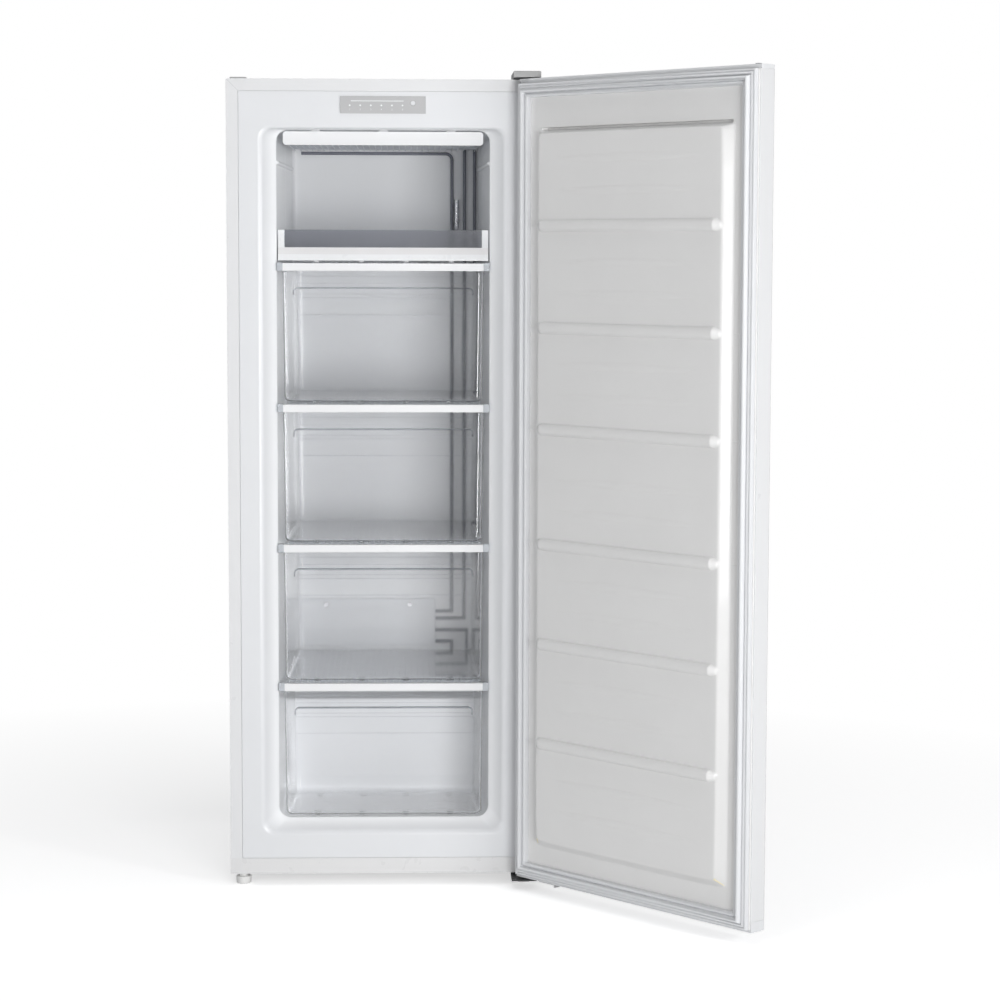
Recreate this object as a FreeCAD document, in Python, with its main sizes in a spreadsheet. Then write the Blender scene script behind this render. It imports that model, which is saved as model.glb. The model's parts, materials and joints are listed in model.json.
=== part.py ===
import FreeCAD, Part
import math
import os
import re
import Sketcher

os.makedirs("parts", exist_ok=True)
doc = FreeCAD.newDocument("upright_freezer")
Vector = FreeCAD.Vector

# Driving dimensions in millimetres and degrees. X runs to the right across the front, Y to the back and Z up.
# The origin is on the floor, below the middle of the cabinet's front edge.
DIMENSIONS = {
    # cabinet shell
    "cabinet_width": 550,
    "cabinet_depth": 505,
    "cabinet_height": 1416,
    "foot_height": 22,
    "sheet_gauge": 0.8,
    "shell_bend": 3,
    "flange_width": 21,
    "rail_height": 28,
    # liner: the land round the opening, the sloped throat and the moulded cavity
    "opening_width": 428,
    "sill_height": 76,
    "head_height": 86,
    "throat_depth": 30,
    "throat_side": 25.5,
    "throat_rise": 21,
    "throat_drop": 2,
    "cavity_depth": 420,
    "cavity_draft": 11,
    "liner_gauge": 2,
    "step_height": 181,
    "step_depth": 240,
    # machine compartment
    "bulkhead_front": 292,
    "bulkhead_height": 228,
    "bulkhead_bevel": 38,
    # evaporator shelves
    "bottom_room": 244.5,
    "shelf_pitch": 250.9,
    "trim_front": 22,
    "trim_thickness": 12,
    "trim_height": 13.5,
    "trim_cap": 10,
    "trim_cap_step": 1,
    "side_clear": 0.2,
    "net_width": 352,
    "net_back": 405,
    "net_gauge": 2,
    "net_rise": 1,
    "net_rail": 4,
    "wire_pitch": 11,
    "wire_slots": 31,
    "wire_gap": 9,
    "coil_radius": 4,
    "coil_width": 336,
    "coil_front": 44,
    "coil_pitch": 42,
    "coil_runs": 9,
    "ceiling_trim_width": 354,
    "ceiling_trim_height": 24,
    "ceiling_trim_front": 30,
    "ceiling_trim_thickness": 8,
    "ceiling_trim_gap": 2,
    "ceiling_trim_corner": 6,
    "hanger_place": 120,
    "hanger_width": 16,
    "hanger_depth": 4,
    "ceiling_net_drop": 19,
    # drawers
    "drawer_front": 26,
    "drawer_front_width": 358,
    "drawer_back_width": 340,
    "drawer_back": 396,
    "bottom_drawer_back": 228,
    "drawer_draft": 3,
    "drawer_gauge": 2.2,
    "drawer_corner": 10,
    "pad_height": 3.5,
    "pad_radius": 6,
    "pad_pitch": 80,
    "pad_margin": 25,
    "run_clear": 0.3,
    "top_clear": 1.5,
    "grip_drop": 30,
    "grip_depth": 7,
    "grip_gauge": 2.4,
    "grip_inset": 20,
    # freezing tray
    "tray_width": 372,
    "tray_front": 24,
    "tray_back": 396,
    "tray_gauge": 2.2,
    "tray_bar_height": 23,
    "tray_bar_face": 11,
    "tray_bar_slope": 5,
    "tray_bar_thickness": 10,
    "tray_post_width": 11,
    "tray_post_height": 54,
    "tray_side_height": 22,
    "retainer_gauge": 3,
    "retainer_inset": 2,
    # control panel
    "panel_width": 150,
    "panel_height": 30,
    "panel_thickness": 2,
    "panel_top_gap": 30,
    "lamp_radius": 1.6,
    "lamp_pitch": 18.5,
    "lamp_first": -58.2,
    "lamp_drop": 16,
    "lamp_proud": 0.3,
    "bar_rise": 7,
    "bar_height": 1.4,
    "bar_inset": 2,
    "button_radius": 4,
    "button_place": 52.7,
    "button_drop": 12,
    "button_proud": 1.4,
    "button_travel": 0.8,
    "collar_width": 2,
    "collar_gauge": 1.5,
    "switch_width": 6,
    "switch_height": 2,
    "board_gap": 9,
    "board_gauge": 1.6,
    "board_width": 136,
    "board_height": 21,
    "board_post": 2.5,
    "board_post_inset": 4.5,
    "pocket_margin": 3,
    # door
    "door_open": 132,
    "door_gap": 18,
    "door_thickness": 36.5,
    "door_top_gap": 0.5,
    "door_bottom_gap": 0.5,
    "door_return": 20,
    "top_rim": 3.5,
    "bottom_rim": 5,
    "cap_slot": 3.5,
    "ear_gauge": 1.2,
    "top_ear": 7,
    "bottom_ear": 18,
    "cap_plug": 14,
    "door_liner_gauge": 2,
    "door_land_margin": 2.5,
    "door_bend": 5,
    "plateau_side_clear": 3,
    "plateau_bottom_clear": 2,
    "plateau_top_clear": 11,
    "plateau_front": 1,
    "plateau_slope": 13,
    "plateau_top_slope": 4.5,
    "groove_depth": 10,
    "groove_height": 10.5,
    "groove_side": 8,
    "rib_height": 21,
    "rib_proud": 9,
    "rib_bevel": 5,
    "rib_shoulder": 2,
    "rib_run_out": 13,
    "rib_first": 176,
    "rib_pitch": 176.3,
    "rib_middle": 201,
    "gasket_side_margin": 4,
    "gasket_end_margin": 0.5,
    "gasket_width": 26,
    "gasket_clear": 0.4,
    # hinges
    "pin_side": 16,
    "pin_front": 30,
    "pin_radius": 4,
    "pin_clear": 0.06,
    "pin_reach": 14,
    "bush_wall": 3,
    "bracket_gauge": 3,
    "bracket_inner": 30,
    "bracket_outer": 15,
    "bracket_nose": 12,
    "bracket_back": 62,
    "bracket_drop": 6.5,
    "bracket_lift": 1.5,
    "cover_wall": 1.6,
    "cover_height": 12.5,
    "screw_head": 4.5,
    "screw_head_height": 2.4,
    "cover_bend": 2,
    "screw_inset": 10,
    "blank_side": 7,
    "blank_front": 2,
    "blank_edge": 1,
    "blank_width": 29,
    "blank_depth": 34,
    "blank_height": 2.5,
    "stop_width": 40,
    "stop_height": 2,
    "stop_depth": 18,
    "stop_gap": 6,
    "stop_lip": 4,
    "stop_lip_gauge": 3,
    "plug_radius": 5,
    "plug_proud": 2,
    # feet
    "foot_side": 22,
    "foot_front": 25,
    "foot_radius": 14,
    "foot_taper": 3,
    "stud_radius": 4,
    "stud_length": 22,
    "stud_clear": 0.06,
    "base_lip": 20,
    "base_gauge": 2,
    "foot_gap": 0.6,
    "rear_foot_side": 40,
    "rear_foot_back": 28,
    "rear_foot_radius": 15,
    # cooling system
    "compressor_place": 95,
    "compressor_back": 108,
    "compressor_radius": 62,
    "compressor_height": 150,
    "compressor_lift": 14,
    "compressor_foot": 52,
    "foot_plate_margin": 14,
    "foot_plate_gauge": 3,
    "can_base": 12,
    "can_seam": 4,
    "can_seam_height": 6,
    "can_shoulder": 28,
    "can_crown": 18,
    "mount_radius": 9,
    "condenser_gap": 11,
    "condenser_width": 440,
    "condenser_rise": 70,
    "condenser_top_gap": 86,
    "condenser_end": 20,
    "condenser_runs": 17,
    "condenser_wire_pitch": 16,
    "condenser_slots": 26,
    "condenser_wire_gap": 13.5,
    "condenser_wire": 1.6,
    "condenser_rail": 5,
    "lug_width": 12,
    "lug_height": 4,
    "lug_place": 180,
    "riser_radius": 3,
    "riser_side": 128,
    "riser_spacing": 24,
    "riser_back_gap": 0.3,
    "bypass_top": 77.5,
    "bypass_pitch": 14,
    "bypass_out": 40.5,
    "bypass_out_pitch": 22,
    "cover_plate_width": 262,
    "cover_plate_left": -165,
    "cover_plate_top": 102.5,
    "cover_plate_height": 92,
    "cover_plate_depth": 9,
    "cover_plate_corner": 7,
    "cover_screw_margin": 50,
    "cover_screw_drop": 11,
    "bulb_radius": 4.5,
    "bulb_length": 58,
    "bulb_rise": 61.8,
    "drier_radius": 9,
    "drier_length": 90,
    "drier_rise": 60,
    "gland_radius": 7,
    "gland_neck": 5.5,
    "gland_bore": 4,
    "gland_flange": 3,
    "gland_rise": 9.5,
    "terminal_width": 34,
    "terminal_height": 56,
    "terminal_depth": 60,
    "terminal_drop": 10,
}

sheet = doc.addObject("Spreadsheet::Sheet", "Dims")
for row, (alias, number) in enumerate(DIMENSIONS.items(), 1):
    sheet.set(f"A{row}", alias)
    sheet.set(f"B{row}", str(number))
    sheet.setAlias(f"B{row}", alias)
doc.recompute()

ALIAS = re.compile(r"\b(" + "|".join(DIMENSIONS) + r")\b")


def formula(text):
    """An expression that names sheet cells by their aliases alone, with the sheet's name put before each."""
    return ALIAS.sub(r"Dims.\1", str(text))


def bind(item, **sizes):
    """Binds properties to formulas of the sheet's cells. A double underscore in a name stands for a dot."""
    for name, text in sizes.items():
        item.setExpression(name.replace("__", "."), formula(text))
    return item


def size(alias):
    """A cell's number, for the pieces whose shape is worked out here."""
    return float(sheet.get(alias))


def place(item, x="0", y="0", z="0"):
    return bind(item, Placement__Base__x=x, Placement__Base__y=y, Placement__Base__z=z)


nodes = []


def node(label, item):
    """Registers a finished piece under its own name."""
    item.Label = label
    nodes.append(item)
    return item


# Planes and lines that several pieces share, as formulas.
CAB_SIDE = "(cabinet_width/2)"
CAB_BOTTOM = "foot_height"
CAB_TOP = "(foot_height+cabinet_height)"
CAB_BACK = "cabinet_depth"
RAIL_TOP = "(foot_height+rail_height)"
OPEN_SIDE = "(opening_width/2)"
OPEN_BOTTOM = "(foot_height+sill_height)"
OPEN_TOP = "(foot_height+cabinet_height-head_height)"
CAVITY_SIDE = "(opening_width/2-throat_side)"
CAVITY_BACK_SIDE = "(opening_width/2-throat_side-cavity_draft)"
CAVITY_BOTTOM = "(foot_height+sill_height+throat_rise)"
CAVITY_TOP = "(foot_height+cabinet_height-head_height-throat_drop)"
STEP_TOP = f"({CAVITY_BOTTOM}+step_height)"
BULKHEAD_TOP = "(foot_height+bulkhead_height)"
DOOR_INNER = "(-door_gap)"
DOOR_OUTER = "(-door_gap-door_thickness)"
DOOR_TOP = f"({CAB_TOP}-door_top_gap)"
DOOR_BOTTOM = f"({CAB_BOTTOM}-door_bottom_gap)"
PIN_X = "(cabinet_width/2-pin_side)"
PIN_Y = "(-pin_front)"
INNER_BEND = "(shell_bend-sheet_gauge)"
DOOR_INNER_BEND = "(door_bend-sheet_gauge)"
PLATEAU_HALF = "(opening_width/2-plateau_side_clear)"
PLATEAU_LOW = "(foot_height+sill_height+plateau_bottom_clear)"
PLATEAU_HIGH = "(foot_height+cabinet_height-head_height-plateau_top_clear)"


def shelf_top(number):
    """Top of the trim of evaporator shelf 1 (highest) to 4 (lowest)."""
    return f"({CAVITY_BOTTOM}+bottom_room+{4 - number}*shelf_pitch)"


def box(name, low, high):
    """A block between two corners."""
    item = doc.addObject("Part::Box", name)
    place(item, *low)
    spans = [f"({far})-({near})" for near, far in zip(low, high)]
    return bind(item, Length=spans[0], Width=spans[1], Height=spans[2])


def cylinder(name, radius, length, x, y, z, along="Z"):
    """A round bar that starts at a point and runs along an axis."""
    item = doc.addObject("Part::Cylinder", name)
    turns = {"Z": (Vector(0, 0, 1), 0), "Y": (Vector(1, 0, 0), -90), "X": (Vector(0, 1, 0), 90)}
    item.Placement = FreeCAD.Placement(Vector(), FreeCAD.Rotation(*turns[along]))
    bind(item, Radius=radius, Height=length)
    return place(item, x, y, z)


def wedge(name, near, far, y_near, y_far):
    """A tapered block along Y: near and far are (x low, x high, z low, z high) at its two ends."""
    item = doc.addObject("Part::Wedge", name)
    bind(item, Xmin=near[0], Xmax=near[1], Zmin=near[2], Zmax=near[3], Ymin=y_near)
    return bind(item, X2min=far[0], X2max=far[1], Z2min=far[2], Z2max=far[3], Ymax=y_far)


def fuse(name, *items):
    item = doc.addObject("Part::MultiFuse", name)
    item.Shapes = list(items)
    return item


def cut(name, base, *tools):
    item = doc.addObject("Part::Cut", name)
    item.Base = base
    item.Tool = tools[0] if len(tools) == 1 else fuse(name + "_tools", *tools)
    return item


def group(name, *items):
    """Separate solids of one kind kept together as one piece."""
    item = doc.addObject("Part::Compound", name)
    item.Links = list(items)
    return item


def origin_plane(body, role):
    return next(f for f in body.Origin.OriginFeatures if f.Role == role)


def outline(body, role, points, name):
    """A closed sketch of straight lines whose corners are all held by formulas."""
    sketch = body.newObject("Sketcher::SketchObject", name)
    sketch.AttachmentSupport = [(origin_plane(body, role), "")]
    sketch.MapMode = "FlatFace"
    count = len(points)
    turn = 2 * math.pi / count
    start = [Vector(100 * math.cos(turn * i), 100 * math.sin(turn * i), 0) for i in range(count)]
    for i in range(count):
        sketch.addGeometry(Part.LineSegment(start[i], start[(i + 1) % count]))
    for i in range(count):
        sketch.addConstraint(Sketcher.Constraint("Coincident", i, 2, (i + 1) % count, 1))
    for i, (across, up) in enumerate(points):
        for kind, letter, value, text in (
            ("DistanceX", "u", start[i].x, across),
            ("DistanceY", "v", start[i].y, up),
        ):
            held = sketch.addConstraint(Sketcher.Constraint(kind, -1, 1, i, 1, value))
            sketch.renameConstraint(held, f"{letter}{i}")
            sketch.setExpression(f"Constraints.{letter}{i}", formula(text))
    return sketch


def body_of(name):
    return doc.addObject("PartDesign::Body", name)


def pad(body, sketch, length, name="pad", reverse=False, both=False):
    feature = body.newObject("PartDesign::Pad", name)
    feature.Profile = sketch
    feature.Reversed = reverse
    feature.Midplane = both
    sketch.Visibility = False
    return bind(feature, Length=length)


def edges_where(feature, test):
    return [f"Edge{i + 1}" for i, edge in enumerate(feature.Shape.Edges) if test(edge)]


def runs_along(edge, axis):
    """Is an edge straight and parallel to an axis?"""
    line = edge.Vertexes[-1].Point - edge.Vertexes[0].Point
    return line.Length > 0 and abs(line.normalize().dot(axis)) > 0.99


def fillet(body, base, edges, radius, name="rounding"):
    doc.recompute()
    feature = body.newObject("PartDesign::Fillet", name)
    feature.Base = (base, edges_where(base, edges))
    return bind(feature, Radius=radius)


def primitive_box(body, kind, name, low, high):
    feature = body.newObject(f"PartDesign::{kind}Box", name)
    place(feature, *low)
    spans = [f"({far})-({near})" for near, far in zip(low, high)]
    return bind(feature, Length=spans[0], Width=spans[1], Height=spans[2])


def primitive_wedge(body, kind, name, near, far, y_near, y_far):
    feature = body.newObject(f"PartDesign::{kind}Wedge", name)
    bind(feature, Xmin=near[0], Xmax=near[1], Zmin=near[2], Zmax=near[3], Ymin=y_near)
    return bind(feature, X2min=far[0], X2max=far[1], Z2min=far[2], Z2max=far[3], Ymax=y_far)


def repeat(body, feature, axis, span, count, name="row"):
    """A straight row of one feature along an origin axis of its body."""
    doc.recompute()
    row = body.newObject("PartDesign::LinearPattern", name)
    row.Originals = [feature]
    row.Direction = (origin_plane(body, axis), [""])
    bind(row, Length=span, Occurrences=count)
    body.Tip = row
    return row


def tube(points, radius):
    """A tube with an eight-sided section and mitred corners along a chain of points."""
    start = points[0]
    ahead = (points[1] - start).normalize()
    side = ahead.cross(Vector(0, 0, 1))
    if side.Length < 0.1:
        side = Vector(1, 0, 0)
    side.normalize()
    up = side.cross(ahead)
    reach = radius / math.cos(math.pi / 8)
    ring = []
    for i in range(9):
        angle = math.pi / 8 + i * math.pi / 4
        ring.append(start + side * (reach * math.cos(angle)) + up * (reach * math.sin(angle)))
    shell = Part.BRepOffsetAPI.MakePipeShell(Part.makePolygon(points))
    shell.setTransitionMode(1)
    shell.add(Part.makePolygon(ring))
    shell.build()
    shell.makeSolid()
    return shell.shape()


def feature_of(name, shape):
    item = doc.addObject("Part::Feature", name)
    item.Shape = shape
    item.Placement = FreeCAD.Placement()
    return item


def serpentine(across, first, pitch, runs, bend_steps=4):
    """Points of a flat coil: straight runs at a pitch, joined by half turns. Returns (u, v) pairs."""
    half = across / 2 - pitch / 2
    points = []
    for run in range(runs):
        side = 1 if run % 2 else -1
        v = first + run * pitch
        points.append((side * half, v))
        points.append((-side * half, v))
        if run < runs - 1:
            for step in range(1, bend_steps):
                angle = math.pi * step / bend_steps
                u = -side * (half + pitch / 2 * math.sin(angle))
                points.append((u, v + pitch / 2 * (1 - math.cos(angle))))
    return points


# Outer shell: one painted sheet bent over both sides and the top, with a flange turned in round the front.
shell = body_of("outer_shell")
profile = outline(
    shell,
    "XZ_Plane",
    [
        (f"-{CAB_SIDE}", CAB_BOTTOM),
        (f"-{CAB_SIDE}", CAB_TOP),
        (CAB_SIDE, CAB_TOP),
        (CAB_SIDE, CAB_BOTTOM),
        (f"{CAB_SIDE}-sheet_gauge", CAB_BOTTOM),
        (f"{CAB_SIDE}-sheet_gauge", f"{CAB_TOP}-sheet_gauge"),
        (f"-{CAB_SIDE}+sheet_gauge", f"{CAB_TOP}-sheet_gauge"),
        (f"-{CAB_SIDE}+sheet_gauge", CAB_BOTTOM),
    ],
    "shell_profile",
)
wrap = pad(shell, profile, CAB_BACK, "wrap", reverse=True)
flange_profile = outline(
    shell,
    "XZ_Plane",
    [
        (f"-{CAB_SIDE}", RAIL_TOP),
        (f"-{CAB_SIDE}", CAB_TOP),
        (CAB_SIDE, CAB_TOP),
        (CAB_SIDE, RAIL_TOP),
        (f"{CAB_SIDE}-flange_width", RAIL_TOP),
        (f"{CAB_SIDE}-flange_width", f"{CAB_TOP}-flange_width"),
        (f"-{CAB_SIDE}+flange_width", f"{CAB_TOP}-flange_width"),
        (f"-{CAB_SIDE}+flange_width", RAIL_TOP),
    ],
    "flange_profile",
)
flange = pad(shell, flange_profile, "sheet_gauge", "flange", reverse=True)


def top_corner_edges(inset):
    """Edges along Y at the shell's two top corners, at an inset from the outside."""
    side = size("cabinet_width") / 2 - inset
    top = size("foot_height") + size("cabinet_height") - inset
    near = lambda point: abs(abs(point.x) - side) < 0.01 and abs(point.z - top) < 0.01
    return lambda edge: runs_along(edge, Vector(0, 1, 0)) and near(edge.Vertexes[0].Point)


outer_bend = fillet(shell, flange, top_corner_edges(0), "shell_bend", "outer_bend")
fillet(shell, outer_bend, top_corner_edges(size("sheet_gauge")), INNER_BEND, "inner_bend")
node("outer_shell", shell)

# Bottom panel: the front rail below the opening, folded back into the floor of the insulated box.
bottom = body_of("bottom_panel")
panel_profile = outline(
    bottom,
    "YZ_Plane",
    [
        ("0", CAB_BOTTOM),
        ("0", RAIL_TOP),
        ("sheet_gauge", RAIL_TOP),
        ("sheet_gauge", f"{CAB_BOTTOM}+sheet_gauge"),
        ("bulkhead_front", f"{CAB_BOTTOM}+sheet_gauge"),
        ("bulkhead_front", CAB_BOTTOM),
    ],
    "panel_profile",
)
pad(bottom, panel_profile, "cabinet_width-2*sheet_gauge", "fold", both=True)
for side, mark in (("-", "left"), ("", "right")):
    stud_hole = bottom.newObject("PartDesign::SubtractiveCylinder", f"stud_hole_{mark}")
    place(stud_hole, f"{side}({CAB_SIDE}-foot_side)", "foot_front", f"{CAB_BOTTOM}-1")
    bind(stud_hole, Radius="stud_radius+stud_clear", Height="sheet_gauge+2")
node("bottom_panel", bottom)

# Bulkhead: the stepped sheet between the insulated box and the machine compartment.
bulkhead = body_of("compressor_bulkhead")
bulkhead_profile = outline(
    bulkhead,
    "YZ_Plane",
    [
        ("bulkhead_front", CAB_BOTTOM),
        ("bulkhead_front", f"{BULKHEAD_TOP}-bulkhead_bevel"),
        ("bulkhead_front+bulkhead_bevel", BULKHEAD_TOP),
        (f"{CAB_BACK}-sheet_gauge", BULKHEAD_TOP),
        (f"{CAB_BACK}-sheet_gauge", f"{BULKHEAD_TOP}-sheet_gauge"),
        ("bulkhead_front+bulkhead_bevel+sheet_gauge/2", f"{BULKHEAD_TOP}-sheet_gauge"),
        ("bulkhead_front+sheet_gauge", f"{BULKHEAD_TOP}-bulkhead_bevel-sheet_gauge/2"),
        ("bulkhead_front+sheet_gauge", CAB_BOTTOM),
    ],
    "bulkhead_profile",
)
pad(bulkhead, bulkhead_profile, "cabinet_width-2*sheet_gauge", "fold", both=True)
node("compressor_bulkhead", bulkhead)

# Back panel: flat sheet that closes the insulated box above the machine compartment.
back = body_of("back_panel")
back_sheet = primitive_box(
    back,
    "Additive",
    "sheet",
    (f"-{CAB_SIDE}+sheet_gauge", f"{CAB_BACK}-sheet_gauge", f"{BULKHEAD_TOP}-sheet_gauge"),
    (f"{CAB_SIDE}-sheet_gauge", CAB_BACK, f"{CAB_TOP}-sheet_gauge"),
)
fillet(back, back_sheet, top_corner_edges(size("sheet_gauge")), INNER_BEND)
node("back_panel", back)

# Base tray: pressed floor of the machine compartment, with its front and back edges turned up.
BASE_FRONT = "(bulkhead_front+sheet_gauge)"
base = body_of("base_tray")
base_profile = outline(
    base,
    "YZ_Plane",
    [
        (BASE_FRONT, CAB_BOTTOM),
        (BASE_FRONT, f"{CAB_BOTTOM}+base_lip"),
        (f"{BASE_FRONT}+base_gauge", f"{CAB_BOTTOM}+base_lip"),
        (f"{BASE_FRONT}+base_gauge", f"{CAB_BOTTOM}+base_gauge"),
        (f"{CAB_BACK}-base_gauge", f"{CAB_BOTTOM}+base_gauge"),
        (f"{CAB_BACK}-base_gauge", f"{CAB_BOTTOM}+base_lip"),
        (CAB_BACK, f"{CAB_BOTTOM}+base_lip"),
        (CAB_BACK, CAB_BOTTOM),
    ],
    "base_profile",
)
pad(base, base_profile, "cabinet_width-2*sheet_gauge", "fold", both=True)
GLAND_X = "(-cabinet_width/4)"
GLAND_Z = f"({CAB_BOTTOM}+base_gauge+gland_rise)"
gland_hole = base.newObject("PartDesign::SubtractiveCylinder", "gland_hole")
gland_hole.Placement = FreeCAD.Placement(Vector(), FreeCAD.Rotation(Vector(1, 0, 0), -90))
place(gland_hole, GLAND_X, f"{CAB_BACK}-base_gauge-1", GLAND_Z)
bind(gland_hole, Radius="gland_neck", Height="base_gauge+2")
node("base_tray", base)


def liner_form(kind, body, grow):
    """The throat, the main chamber and the short chamber in front of the machine compartment."""
    wall = f"+{grow}"
    lower_back = "(step_depth-throat_depth)/(cavity_depth-throat_depth)"
    side_at_step = f"({CAVITY_SIDE}-cavity_draft*{lower_back})"
    mouth = (f"-{OPEN_SIDE}-{grow}", f"{OPEN_SIDE}{wall}", f"{OPEN_BOTTOM}-{grow}", f"{OPEN_TOP}{wall}")
    neck_x = (f"-{CAVITY_SIDE}-{grow}", f"{CAVITY_SIDE}{wall}")
    neck = (*neck_x, f"{CAVITY_BOTTOM}-{grow}", f"{CAVITY_TOP}{wall}")
    upper_near = (neck[0], neck[1], f"{STEP_TOP}-{grow}", neck[3])
    upper_far = (f"-{CAVITY_BACK_SIDE}-{grow}", f"{CAVITY_BACK_SIDE}{wall}", f"{STEP_TOP}-{grow}", neck[3])
    lower_far = (f"-{side_at_step}-{grow}", f"{side_at_step}{wall}", neck[2], neck[3])
    primitive_wedge(body, kind, f"throat_{kind}", mouth, neck, "0", "throat_depth")
    primitive_wedge(body, kind, f"chamber_{kind}", upper_near, upper_far, "throat_depth", f"cavity_depth{wall}")
    return primitive_wedge(body, kind, f"short_{kind}", neck, lower_far, "throat_depth", f"step_depth{wall}")


def land_plates(body):
    """The liner's flat front round the opening, tucked behind the shell's flange and the front rail."""
    edge = primitive_box(
        body,
        "Additive",
        "land_edge",
        (f"-{CAB_SIDE}+sheet_gauge", "sheet_gauge", f"{CAB_BOTTOM}+sheet_gauge"),
        (f"{CAB_SIDE}-sheet_gauge", "sheet_gauge+liner_gauge", f"{CAB_TOP}-sheet_gauge"),
    )
    fillet(body, edge, top_corner_edges(size("sheet_gauge")), INNER_BEND)
    primitive_box(
        body,
        "Additive",
        "land_face",
        (f"-{CAB_SIDE}+flange_width", "0", RAIL_TOP),
        (f"{CAB_SIDE}-flange_width", "sheet_gauge+liner_gauge", f"{CAB_TOP}-flange_width"),
    )


PANEL_TOP = f"({CAB_TOP}-panel_top_gap)"
PANEL_BOTTOM = f"({CAB_TOP}-panel_top_gap-panel_height)"
BUTTON_Z = f"({PANEL_TOP}-button_drop)"

# Inner liner: one moulded white sheet that makes the land, the throat and the stepped cavity.
liner = body_of("inner_liner")
land_plates(liner)
liner_form("Additive", liner, "liner_gauge")
liner_form("Subtractive", liner, "0")
button_hole = liner.newObject("PartDesign::SubtractiveCylinder", "button_hole")
button_hole.Placement = FreeCAD.Placement(Vector(), FreeCAD.Rotation(Vector(1, 0, 0), -90))
place(button_hole, "button_place", "-1", BUTTON_Z)
bind(button_hole, Radius="button_radius+run_clear", Height="liner_gauge+sheet_gauge+2")
node("inner_liner", liner)

# Insulation: rigid foam that fills the walls between the liner and the sheets, with a pocket for the board.
FOAM_FRONT = "(sheet_gauge+liner_gauge)"
foam = body_of("insulation_foam")
foam_block = primitive_box(
    foam,
    "Additive",
    "block",
    (f"-{CAB_SIDE}+sheet_gauge", FOAM_FRONT, f"{CAB_BOTTOM}+sheet_gauge"),
    (f"{CAB_SIDE}-sheet_gauge", f"{CAB_BACK}-sheet_gauge", f"{CAB_TOP}-sheet_gauge"),
)
fillet(foam, foam_block, top_corner_edges(size("sheet_gauge")), INNER_BEND)
liner_form("Subtractive", foam, "liner_gauge")
machine_space = outline(
    foam,
    "YZ_Plane",
    [
        ("bulkhead_front", f"{CAB_BOTTOM}"),
        ("bulkhead_front", f"{BULKHEAD_TOP}-bulkhead_bevel"),
        ("bulkhead_front+bulkhead_bevel", BULKHEAD_TOP),
        (CAB_BACK, BULKHEAD_TOP),
        (CAB_BACK, CAB_BOTTOM),
    ],
    "machine_space",
)
pocket = foam.newObject("PartDesign::Pocket", "machine_pocket")
pocket.Profile = machine_space
pocket.Midplane = True
bind(pocket, Length="cabinet_width")
primitive_box(
    foam,
    "Subtractive",
    "board_pocket",
    ("-panel_width/2", "0", PANEL_BOTTOM),
    ("panel_width/2", f"{FOAM_FRONT}+board_gap+board_gauge+pocket_margin", PANEL_TOP),
)
for side, mark in (("-", "left"), ("", "right")):
    stud_room = foam.newObject("PartDesign::SubtractiveCylinder", f"stud_room_{mark}")
    place(stud_room, f"{side}({CAB_SIDE}-foot_side)", "foot_front", f"{CAB_BOTTOM}-1")
    bind(stud_room, Radius="stud_radius+1", Height="stud_length+3")
node("insulation_foam", foam)

# Control bezel: flat grey plate on the land, with holes for the lamps, a slot for the bar and the button.
LAMP_Z = f"({PANEL_TOP}-lamp_drop)"
BAR_LOW = f"({PANEL_TOP}-lamp_drop+bar_rise)"
BAR_LEFT = "(lamp_first+bar_inset)"
LAMP_FACE = "(-panel_thickness-lamp_proud)"
BAR_RIGHT = "(lamp_first+5*lamp_pitch+bar_inset)"
bezel_low = ("-panel_width/2", "-panel_thickness", PANEL_BOTTOM)
bezel_plate = box("bezel_plate", bezel_low, ("panel_width/2", "0", PANEL_TOP))
lamp_names = [f"lamp_first+{i}*lamp_pitch" for i in range(6)]
bezel_tools = [
    cylinder(f"lamp_hole_{i}", "lamp_radius", "panel_thickness+2", x, "-panel_thickness-1", LAMP_Z, "Y")
    for i, x in enumerate(lamp_names)
]
bezel_tools.append(
    box("bar_slot", (BAR_LEFT, "-panel_thickness-1", BAR_LOW), (BAR_RIGHT, "1", f"{BAR_LOW}+bar_height"))
)
bezel_tools.append(
    cylinder(
        "button_bore", "button_radius+run_clear", "panel_thickness+2", "button_place", "-panel_thickness-1",
        BUTTON_Z, "Y",
    )
)
node("control_bezel", cut("control_bezel", bezel_plate, *bezel_tools))

# Indicator lenses: six round lamps and the light bar above them, set in the bezel.
lenses = [
    cylinder(f"lamp_{i}", "lamp_radius", "panel_thickness+lamp_proud", x, LAMP_FACE, LAMP_Z, "Y")
    for i, x in enumerate(lamp_names)
]
lenses.append(
    box("light_bar", (BAR_LEFT, LAMP_FACE, BAR_LOW), (BAR_RIGHT, "0", f"{BAR_LOW}+bar_height"))
)
node("indicator_lenses", group("indicator_lenses", *lenses))

# Control button: a round push button with a retaining collar behind the land.
BUTTON_COLLAR = f"({FOAM_FRONT}+button_travel/2+run_clear)"
button_cap = cylinder(
    "button_stem",
    "button_radius",
    f"panel_thickness+button_proud+{FOAM_FRONT}+board_gap-switch_height-button_travel-run_clear",
    "button_place",
    "-panel_thickness-button_proud",
    BUTTON_Z,
    "Y",
)
button_collar = cylinder(
    "button_collar", "button_radius+collar_width", "collar_gauge", "button_place", BUTTON_COLLAR, BUTTON_Z,
    "Y",
)
node("control_button", fuse("control_button", button_cap, button_collar))

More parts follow.
